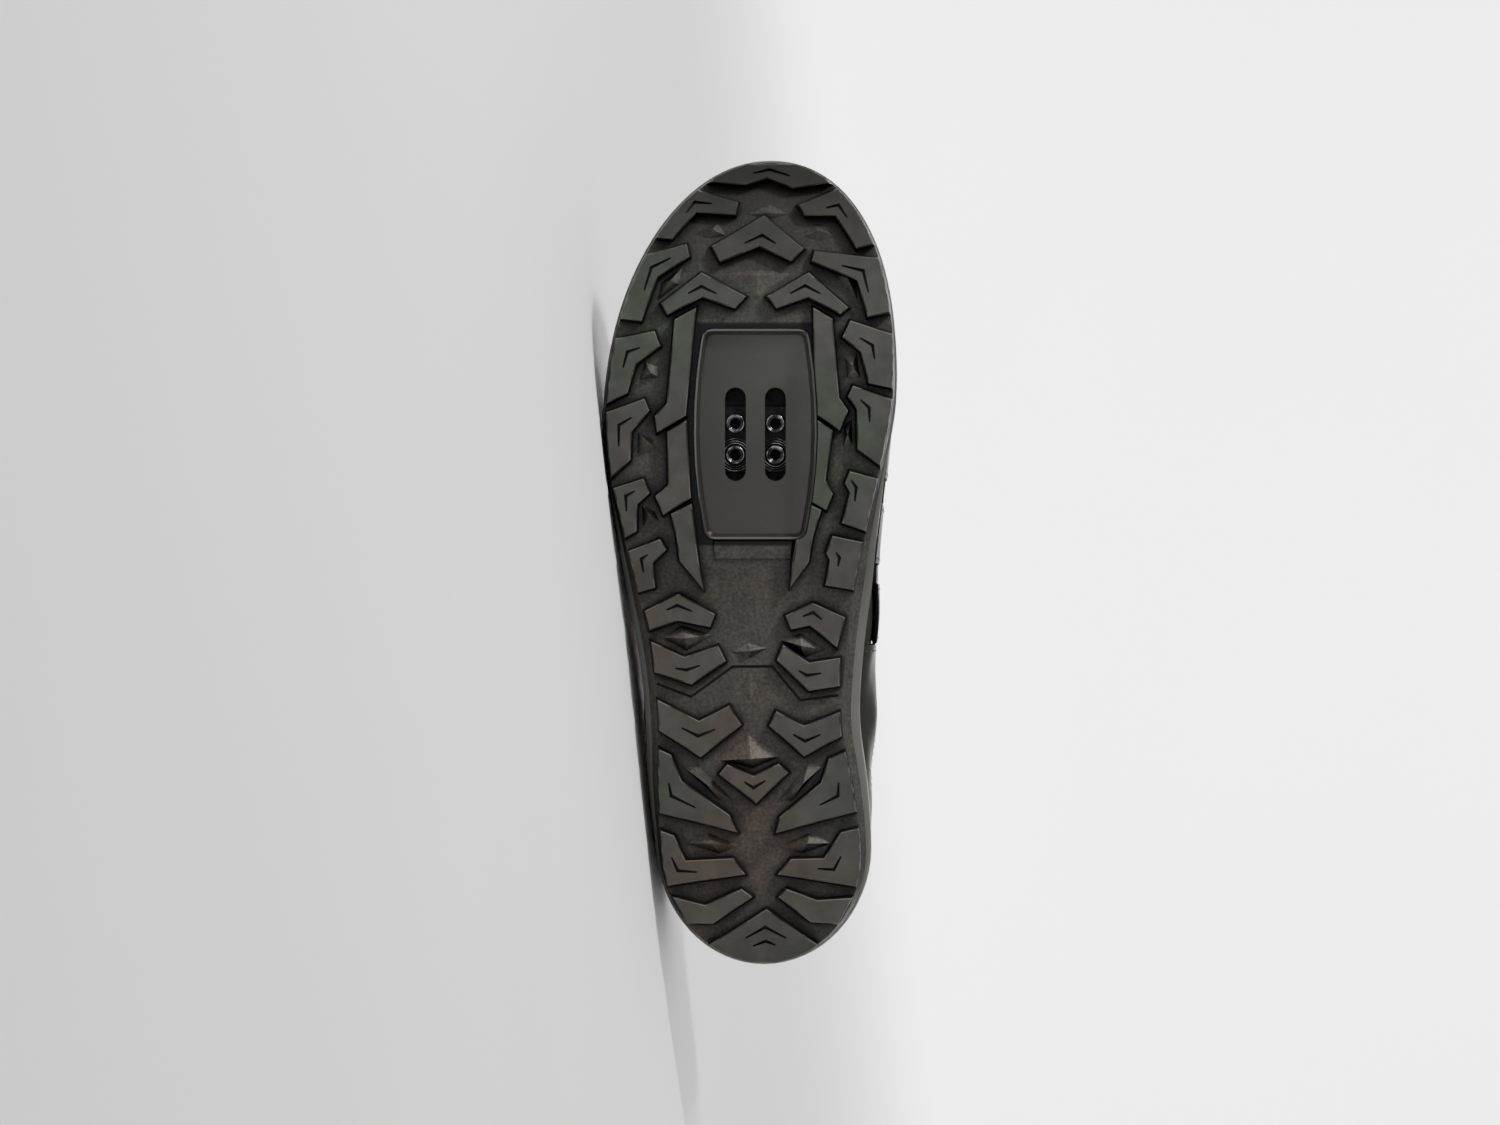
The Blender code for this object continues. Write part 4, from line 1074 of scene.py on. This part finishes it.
def make_side_wall(material):
    """The wall's moulded lips and the hollow between them, as one band round the sole."""
    shape = bmesh.new()
    rows = []
    for level, flare, bulge in WALL_SECTION:
        loop = outline_loop(flare)
        row = []
        for i, (along, spot) in enumerate(loop):
            run = loop[(i + 1) % len(loop)][1] - loop[i - 1][1]
            out = Vector((run.y, -run.x)).normalized()
            if out.dot(spot - Vector((SOLE_LENGTH / 2, 0))) < 0:
                out = -out
            low = tread_height(along) + LUG_HEIGHT + BASE_THICKNESS + GAP
            high = bed_height(along)
            row.append((spot + out * bulge * MM, spot - out * WALL_BAND_DEPTH, low + (high - low) * level))
        rows.append(row)
    section = [[shape.verts.new((o.x, o.y, z)) for o, i, z in row] for row in rows]
    section += [[shape.verts.new((i.x, i.y, z)) for o, i, z in row] for row in (rows[-1], rows[0])]
    skin(shape, section + section[:1])
    bmesh.ops.recalc_face_normals(shape, faces=shape.faces)
    return smooth(add_piece("side_wall_band", shape, material, "midsole_rubber"), 50)


def make_tray(material):
    tray = cad_copy("cleat_tray", "cleat_plate", material, "cleat_plastic")
    merge = tray.modifiers.new("merge", "DECIMATE")
    merge.decimate_type = "DISSOLVE"
    merge.angle_limit = math.radians(0.5)
    bevel(tray, 0.25 * MM, 35)
    settle(tray, 20.0)
    map_plan(tray)


def make_nuts(material, dull):
    """The threaded plate, with turned rings and threads round its four holes and fine ribs round the two
    nearer the heel.
    """
    settle(cad_copy("nut_plate", "cleat_nut_plate", dull, "nut_steel"), 30.0)
    shape = bmesh.new()
    sides = 32
    mouth = PLATE_BOTTOM + NUT_FACE_DEPTH
    # Radius and depth in mm: the collar's rounded rim, then the thread's turns, and a rib's section
    turned = [(3.30, 0.30), (3.30, -0.25), (3.05, -0.50), (2.75, -0.45), (2.60, -0.15), (2.45, -0.10)]
    turned += [(2.30, 0.10)]
    for i in range(THREAD_TURNS):
        turned += [(2.02, 0.25 + i * 0.5), (2.28, 0.50 + i * 0.5)]
    rib = [(-0.22, 0.0), (-0.10, -0.30), (0.10, -0.30), (0.22, 0.0)]

    def turn(x, y, profile):
        rings = []
        for radius, depth in profile:
            angles = [2 * math.pi * i / sides for i in range(sides)]
            rings.append([shape.verts.new((x + radius * MM * math.cos(a), y + radius * MM * math.sin(a),
                                           mouth + depth * MM)) for a in angles])
        skin(shape, rings)

    for side in (-1, 1):
        y = SLOT_SIDE + side * SLOT_SPACING / 2
        for row in (-1, 1):
            turn(THREAD_ROW_MIDDLE + row * THREAD_ROW_SPACING / 2, y, turned)
        for radius in RIB_RADII:
            turn(THREAD_ROW_MIDDLE - THREAD_ROW_SPACING / 2, y, [(radius + r, 0.6 + d) for r, d in rib])
    return smooth(add_piece("thread_rings", shape, material, "nut_steel"), 60)


# The upper


def columns_at(side, places, turns_of):
    """Columns on one side of the upper, one for each place along it, with the turns of a function."""
    return [[(side, along, turn) for turn in turns_of(along)] for along in places]


def upper_columns():
    """Columns round the whole upper, lateral side first."""
    def turns_of(along):
        return spread(-1, 0, 6)[:-1] + spread(0, upper_top(along), 18)

    places = upper_stations()
    return columns_at(-1, places, turns_of) + columns_at(1, places[::-1], turns_of)


def upper_stations():
    """Places along the upper, with more round the throat's front."""
    steps = 10
    throat = [THROAT_SHOULDER + (THROAT_FRONT - THROAT_SHOULDER) * math.sin(math.pi / 2 * i / steps)
              for i in range(steps + 1)]
    spare = 0.004
    rest = [a for a in stations(12, 64, 22) if not THROAT_SHOULDER - spare < a < THROAT_FRONT + spare]
    return sorted(rest + throat)


def both_sides(columns_of):
    """Two patches that face outwards, from a function that gives one side's columns from heel to toe."""
    return [columns_of(-1), columns_of(1)[::-1]]


def rand_top(along):
    """The wavy upper edge of the band along the sole, higher at the heel and the toe."""
    return -0.34 + 0.10 * math.cos(2 * math.pi * along) + 0.03 * math.cos(6 * math.pi * along)


def rand_columns(side):
    return columns_at(side, stations(12, 48, 18), lambda along: spread(-1, rand_top(along), 5))


def eyestay_low(along):
    """The lower edge of the band along the throat, which widens round its front."""
    front = max(0.0, (along - THROAT_SHOULDER) / (EYESTAY_FRONT - THROAT_SHOULDER))
    return between(UPPER, along, "top") - EYESTAY_DROP + EYESTAY_WIDENING * front * front


def eyestay_columns(side):
    places = [a for a in upper_stations() if EYESTAY_REAR < a < EYESTAY_FRONT]
    return columns_at(side, [EYESTAY_REAR] + places + [EYESTAY_FRONT],
                      lambda along: spread(eyestay_low(along), upper_top(along), 8))


# Welded struts between the sole's band and the throat: place at the sole, lean forward, half width
Strut = namedtuple("Strut", "name along lean half")
STRUTS = (
    Strut("rear", 0.500, 0.020, 0.014),
    Strut("middle", 0.590, 0.012, 0.013),
    Strut("front", 0.680, 0.006, 0.013),
)


def strut_columns(row, side):
    columns = []
    for across in spread(-1, 1, 4):
        column = []
        for rise in spread(0, 1, 12):
            width = row.half * (1 + STRUT_FLARE * abs(2 * rise - 1) ** 3)
            along = row.along + row.lean * rise + across * width
            low, high = rand_top(along) - STRUT_UNDER_BAND, eyestay_low(along) + STRUT_UNDER_EYESTAY
            column.append((side, along, low + (high - low) * rise))
        columns.append(column)
    return columns


def quarter_top(share):
    return QUARTER_LOW + QUARTER_RISE * share * share * (3 - 2 * share)


def quarter_place(share):
    return QUARTER_REAR + (QUARTER_FRONT - QUARTER_REAR) * share


def quarter_columns(side):
    """Side panel from the heel overlay to the top strap."""
    columns = []
    for share in spread(0, 1, 20):
        turns = spread(OVERLAY_LOW, 0, 6)[:-1] + spread(0, quarter_top(share), 6)
        columns.append([(side, quarter_place(share), turn) for turn in turns])
    return columns


def strap_line(row, side, turn):
    """Where a strap's middle line crosses a turn on one side of the shoe."""
    upward = STRAP_MEDIAL_STEPS * (turn - row.medial_end) / (1 - row.medial_end)
    downward = STRAP_MEDIAL_STEPS + STRAP_LATERAL_STEPS * (1 - turn) / (1 - row.lateral_end)
    progress = (upward if side > 0 else downward) / (STRAP_MEDIAL_STEPS + STRAP_LATERAL_STEPS)
    return row.along + row.slant * (0.5 - progress)


def between_columns(rear, front, side):
    """Side panel that fills the gap between two straps."""
    half = STRAP_HALF + PANEL_CLEAR
    columns = []
    for share in spread(0, 1, 3):
        column = []
        for turn in spread(PANEL_LOW, PANEL_HIGH, 14):
            low, high = strap_line(rear, side, turn) + half, strap_line(front, side, turn) - half
            column.append((side, low + (high - low) * share, turn))
        columns.append(column)
    return columns


def rim_places():
    """The closed edge of collar and throat: lateral side from the heel, then back on the medial one."""
    places = [along for along in upper_stations() if along <= THROAT_FRONT]
    loop = [(-1, along) for along in places] + [(1, along) for along in places[-2:0:-1]]
    return [(side, along, upper_top(along)) for side, along in loop]


def make_upper(looks):
    wall_piece("upper_mesh", upper_columns(), -UPPER_WALL, 0.0, looks["mesh"], "upper_synthetic",
               "upper", lining=looks["lining"])
    film = dict(inner=FILM_LOW, outer=FILM_LOW + FILM_THICKNESS, rounding=0.00012,
                material=looks["overlay"], slot="overlay_synthetic")
    wall_piece("lower_band", both_sides(rand_columns), **film)
    wall_piece("throat_band", both_sides(eyestay_columns), **film)
    for row in STRUTS:
        wall_piece("strut_" + row.name, both_sides(lambda side, row=row: strut_columns(row, side)), **film)
    for name, side in (("lateral", -1), ("medial", 1)):
        columns = quarter_columns(side)
        overlay("quarter_" + name, columns if side < 0 else columns[::-1], looks)
    front, middle, top = STRAPS
    for name, pair in (("rear", (top, middle)), ("front", (middle, front))):
        columns = both_sides(lambda side, pair=pair: between_columns(*pair, side))
        overlay("side_panel_" + name, columns, looks)
    binding("rim_binding", rim_places(), BINDING_RADIUS, UPPER_WALL / 2, looks["lining"], "lining_fabric")


def make_collar_pad(looks):
    """Foam pad inside the collar, thickest at half its height and thin at its edges and front ends."""
    places = spread(PAD_FRONT, 0, 22)
    order = [(-1, along) for along in places] + [(1, along) for along in places[-2::-1]]
    rings = []
    for i, (side, along) in enumerate(order):
        end = math.sin(math.pi * (i + 0.6) / (len(order) + 0.2)) ** 0.5
        high, low = upper_top(along) - 0.03, PAD_LOW
        back = -UPPER_WALL - PAD_GAP
        ring = [(side, along, turn, back) for turn in spread(high, low, 12)]
        for share in spread(1, 0, 12):
            swell = PAD_EDGE + (PAD_THICKNESS - PAD_EDGE) * math.sin(math.pi * share) ** 0.6 * end
            ring.append((side, along, high + (low - high) * share, back - swell))
        rings.append([lifted(*place) for place in ring])
    ring_piece("collar_pad", rings, looks["lining"], "lining_fabric")


def cap_rear(turn):
    return CAP_REAR + CAP_SWEEP * max(0.0, turn) ** CAP_SWEEP_POWER


def toe_cap_columns():
    steps = spread(0, 1, 20)
    turns = spread(OVERLAY_LOW, 0, 5)[:-1] + spread(0, 1, 16)
    columns = []
    for side, order in ((-1, steps), (1, steps[::-1])):
        for share in order:
            reach = math.sin(share * math.pi / 2)
            columns.append([(side, cap_rear(turn) + (1 - cap_rear(turn)) * reach, turn) for turn in turns])
    return columns


def counter_top(along):
    share = math.acos(1 - along / COUNTER_REACH) * 2 / math.pi
    return (upper_top(along) - COUNTER_DROP) * (1 - (1 - COUNTER_FRONT_SHARE) * share ** 2)


def counter_columns():
    def turns_of(along):
        return spread(OVERLAY_LOW, 0, 5)[:-1] + spread(0, counter_top(along), 10)

    places = [COUNTER_REACH * (1 - math.cos(share * math.pi / 2)) for share in spread(0, 1, 18)]
    return columns_at(1, places[::-1], turns_of) + columns_at(-1, places, turns_of)


def strap_places(row, shares):
    """Rows of places along a strap, at shares of its half width."""
    fine = 2
    path = [(1, turn) for turn in spread(row.medial_end, 1, STRAP_MEDIAL_STEPS * fine)]
    path += [(-1, turn) for turn in spread(1, row.lateral_end, STRAP_LATERAL_STEPS * fine)[1:]]
    columns = []
    for i, (side, turn) in enumerate(path):
        progress = i / (len(path) - 1)
        end = min(1.0, (1 - progress) / STRAP_END_RUN)
        width = STRAP_HALF * (STRAP_END_SHARE + (1 - STRAP_END_SHARE) * math.sqrt(1 - (1 - end) ** 2))
        middle = row.along + row.slant * (0.5 - progress)
        columns.append([(side, middle + share * width, turn) for share in shares])
    return columns


def make_straps(looks):
    return [wall_piece(row.name + "_band", strap_places(row, spread(-1, 1, 8)), SOFT_GAP,
                       SOFT_GAP + STRAP_THICKNESS, looks["strap"], "strap_synthetic", row.name,
                       rounding=0.0005) for row in STRAPS]


def strap_seams(row):
    """A row of stitches inside each edge, and a crossed box near the free end."""
    places = strap_places(row, (-STRAP_SEAM, STRAP_SEAM, 0.0))
    seams = [[column[k] for column in places[1:-1]] for k in (0, 1)]
    near, far = places[-BOX_NEAR], places[-BOX_FAR]
    for first, second in ((near[0], near[1]), (far[0], far[1]), (near[0], far[1]), (near[1], far[0])):
        seams.append([tuple(a + (b - a) * share for a, b in zip(first, second))
                      for share in spread(0, 1, 8)])
    return seams


def make_seams(looks, straps, toe_cap, heel):
    """Every visible seam: straps, throat, toe cap, heel and side panels."""
    paths, trees = [], []

    def lay(piece, lift, *seams):
        tree = tree_of(piece)
        for seam in seams:
            paths.append([lifted(*place, lift) for place in seam])
            trees.append(tree)

    for row, strap in zip(STRAPS, straps):
        lay(strap, SOFT_GAP + STRAP_THICKNESS, *strap_seams(row))
    face = SOFT_GAP + OVERLAY_THICKNESS
    cap_turns = spread(OVERLAY_LOW + 0.05, 0.97, 40)
    counter_places = spread(0.0, COUNTER_REACH - 0.008, 40)
    eyestay_places = spread(EYESTAY_REAR + 0.01, EYESTAY_FRONT - 0.004, 60)
    throat_places = spread(EYESTAY_REAR + 0.01, THROAT_SHOULDER, 50)
    front_turns = spread(quarter_top(1) - 0.04, OVERLAY_LOW + 0.1, 20)
    for name, side in (("lateral", -1), ("medial", 1)):
        for inset in CAP_SEAMS:
            lay(toe_cap, face, [(side, cap_rear(turn) + inset, turn) for turn in cap_turns])
        lay(heel, face, [(side, along, counter_top(along) - COUNTER_SEAM) for along in counter_places])
        lay(bpy.data.objects["throat_band"], FILM_LOW + FILM_THICKNESS,
            [(side, along, min(0.98, eyestay_low(along) + EYESTAY_SEAM)) for along in eyestay_places],
            [(side, along, upper_top(along) - THROAT_SEAM) for along in throat_places])
        lay(bpy.data.objects["quarter_" + name], face,
            [(side, quarter_place(share), quarter_top(share) - QUARTER_SEAM)
             for share in spread(0.03, 0.985, 30)],
            [(side, QUARTER_FRONT - QUARTER_FRONT_SEAM, turn) for turn in front_turns])
    stitches("seam_stitches", paths, trees, looks["thread"], "strap_synthetic")


def make_tongue(looks):
    """Padded tongue under the throat's edges, free above the top strap, with sewn channels across it."""
    shape = bmesh.new()
    grid = []
    places = spread(TONGUE_FRONT, TONGUE_TOP, 72)
    before_top = spread(TONGUE_FRONT, TONGUE_TOP, 12)[-2]
    top_slope = (upper_point(1, TONGUE_TOP, 1) - upper_point(1, before_top, 1)).normalized()
    rise = (top_slope + Vector((0, 0, TONGUE_TOP_LIFT))).normalized() * TONGUE_RISE
    rows = [(along, 0.0) for along in places] + [(places[-1], share) for share in spread(0, 1, 9)[1:]]
    for along, lift in rows:
        progress = (along - TONGUE_TOP) / (TONGUE_FRONT - TONGUE_TOP)
        reach = TONGUE_REACH + (TONGUE_FRONT_REACH - TONGUE_REACH) * progress
        reach *= 1 - (1 - TONGUE_TOP_SHARE) * lift ** 2
        channel = (along * SOLE_LENGTH / CHANNEL_SPACING) % 1.0 - 0.5
        sink = 0.0 if lift else CHANNEL_DEPTH * math.exp(-(channel * CHANNEL_SPACING / CHANNEL_HALF) ** 2)
        line = []
        for share in spread(-1, 1, 24):
            side = 1 if share >= 0 else -1
            point = upper_point(side, along, 1 - reach * abs(share)) + rise * lift
            point.x += TONGUE_CURL * lift * abs(share)
            point.z -= sink * (1 - share ** 4)
            line.append(shape.verts.new(point))
        grid.append(line)
    skin(shape, grid, closed=False)
    tongue = add_piece("tongue_pad", shape, looks["lining"], "lining_fabric", "tongue")
    outer = -UPPER_WALL - TONGUE_GAP
    wall = tongue.modifiers.new("wall", "SOLIDIFY")
    wall.thickness = TONGUE_THICKNESS
    wall.offset = (2 * outer - TONGUE_THICKNESS) / TONGUE_THICKNESS
    wall.use_even_offset = True
    bevel(tongue, TONGUE_ROUND, 50, 3)
    settle(tongue)
    make_tongue_roll(looks, rise)


def make_tongue_roll(looks, rise):
    """The soft roll that closes the tongue's free end."""
    reach = TONGUE_REACH * TONGUE_TOP_SHARE
    middle, backs = [], []
    for share in spread(-1, 1, 24):
        place = (1 if share >= 0 else -1, TONGUE_TOP, 1 - reach * abs(share))
        point = upper_point(*place) + rise
        point.x += TONGUE_CURL * abs(share)
        out = lifted(*place, MM) - lifted(*place)
        middle.append(point - out.normalized() * (UPPER_WALL + TONGUE_GAP + TONGUE_THICKNESS / 2))
        backs.append(out.normalized())
    rings = []
    last = len(middle) - 1
    for i, spot in enumerate(middle):
        run = (middle[min(i + 1, last)] - middle[max(i - 1, 0)]).normalized()
        across = run.cross(backs[i]).normalized()
        end = math.sqrt(max(0.05, 1 - abs(2 * i / last - 1) ** 6))
        rings.append(circle(spot, across, backs[i], TONGUE_ROLL * end, 14))
    ring_piece("tongue_roll", rings, looks["lining"], "lining_fabric")


def make_insole(looks):
    insole = cad_copy("foot_bed", "insole", looks["insole"], "insole_fabric")
    bevel(insole, INSOLE_ROUND, 40, 3)
    settle(insole)


# Stage, light and camera


def make_stage():
    """Pale floor that sweeps up behind the shoe."""
    shape = bmesh.new()
    radius, back, reach, height = 0.6, 2.5, 4.5, 3.5
    profile = [(-reach, 0.0), (back, 0.0)]
    profile += [(back + radius * math.sin(math.radians(a)), radius * (1 - math.cos(math.radians(a))))
                for a in range(10, 91, 10)]
    profile.append((back + radius, height))
    rows = [[shape.verts.new((x, y, z)) for y, z in profile] for x in (-reach, reach)]
    skin(shape, rows[::-1], closed=False)
    floor = put_shape("pale_floor", shape)
    floor.data.shade_smooth()
    floor.data.materials.append(plain_finish("pale_paper", (3, 2, (0.3, 0.86), (0.7, 0.89)),
                                             roughness=0.9, specular=0.2))


Light = namedtuple("Light", "name place target size power")
LIGHTS = (
    Light("key", (-0.95, -0.60, 1.05), (0.0, 0.0, 0.05), (0.2, 0.2), 24),
    Light("back", (0.0, 2.25, 1.6), (0.0, 3.1, 0.6), (2.6, 0.8), 150),
)
SKY_STRENGTH = 0.82


def make_lights():
    """A white sky, a key light from the toe's medial side, and a light on the floor's sweep behind."""
    world = bpy.data.worlds.new("studio")
    bpy.context.scene.world = world
    world.use_nodes = True
    sky = world.node_tree.nodes["Background"]
    sky.inputs["Color"].default_value = (1.0, 1.0, 1.0, 1.0)
    sky.inputs["Strength"].default_value = SKY_STRENGTH
    for row in LIGHTS:
        light = bpy.data.lights.new(row.name, "AREA")
        light.shape = "RECTANGLE"
        light.size, light.size_y = row.size
        light.energy = row.power
        lamp = put(row.name, light)
        lamp.location = row.place
        lamp.rotation_euler = (Vector(row.target) - Vector(row.place)).to_track_quat("-Z", "Y").to_euler()


def make_camera():
    """Square on to the tread, toe at the top of the picture, as in the photo."""
    photo_scale = 0.000349
    photo_width = 1500
    # The picture's middle, in the photo's pixels from the heel's back and the centre line
    centre_own = Vector((402.5 * photo_scale, -10 * photo_scale, 0.0))
    distance = 2.0
    sensor = 36.0
    camera_data = bpy.data.cameras.new("camera")
    camera_data.sensor_width = sensor
    camera_data.lens = sensor * distance / (photo_width * photo_scale)
    camera = put("camera", camera_data)
    turn = SHOE.to_3x3()
    toe, medial, up = turn.col[0], turn.col[1], turn.col[2]
    place = SHOE @ (centre_own - Vector((0, 0, distance)))
    axes = Matrix((medial, toe, -up)).transposed()
    camera.matrix_world = Matrix.Translation(place) @ axes.to_4x4()
    bpy.context.scene.camera = camera


def main():
    make_camera()
    make_lights()
    make_stage()
    looks = {
        "tread": tread_rubber(),
        "side": side_rubber(),
        "tray": tray_plastic(),
        "steel": plain_finish("black_steel",
                              (300, 3, (0.42, (0.035, 0.035, 0.036)), (0.62, (0.26, 0.26, 0.27))),
                              (900, 2, 0.00004, 0.5), gloss=(500, 3, (0.35, 0.12), (0.70, 0.30)),
                              metallic=1.0),
        "dull": plain_finish("dull_steel", (400, 3, (0.35, 0.004), (0.70, 0.010)),
                             (900, 2, 0.00004, 0.5), roughness=0.6, metallic=0.3, specular=0.2),
        "mesh": mesh_fabric(),
        "overlay": synthetic_leather("overlay_leather", (0.021, 0.022, 0.019)),
        "strap": synthetic_leather("strap_leather", (0.006, 0.006, 0.0065)),
        "lining": lining_fabric("lining_knit", (0.016, 0.016, 0.017)),
        "insole": lining_fabric("insole_felt", (0.035, 0.035, 0.036)),
        "thread": plain_finish("thread", (900, 2, (0.3, 0.022), (0.7, 0.040)), (2600, 2, 0.00008, 0.6),
                               roughness=0.7, specular=0.3),
    }
    # Painted shade: near-black for the unlit inside of the recess, behind the slots
    inside = plain_finish("recess_black", (200, 2, (0.3, 0.003), (0.7, 0.007)), roughness=0.8, specular=0.1)
    make_outsole(looks["tread"])
    make_midsole(looks["side"], inside)
    make_side_wall(looks["side"])
    make_tray(looks["tray"])
    make_nuts(looks["steel"], looks["dull"])
    make_upper(looks)
    make_collar_pad(looks)
    cap = overlay("toe_cap_overlay", toe_cap_columns(), looks, "toe_cap")
    heel = overlay("heel_overlay", counter_columns(), looks, "heel_counter")
    make_seams(looks, make_straps(looks), cap, heel)
    make_tongue(looks)
    make_insole(looks)


main()
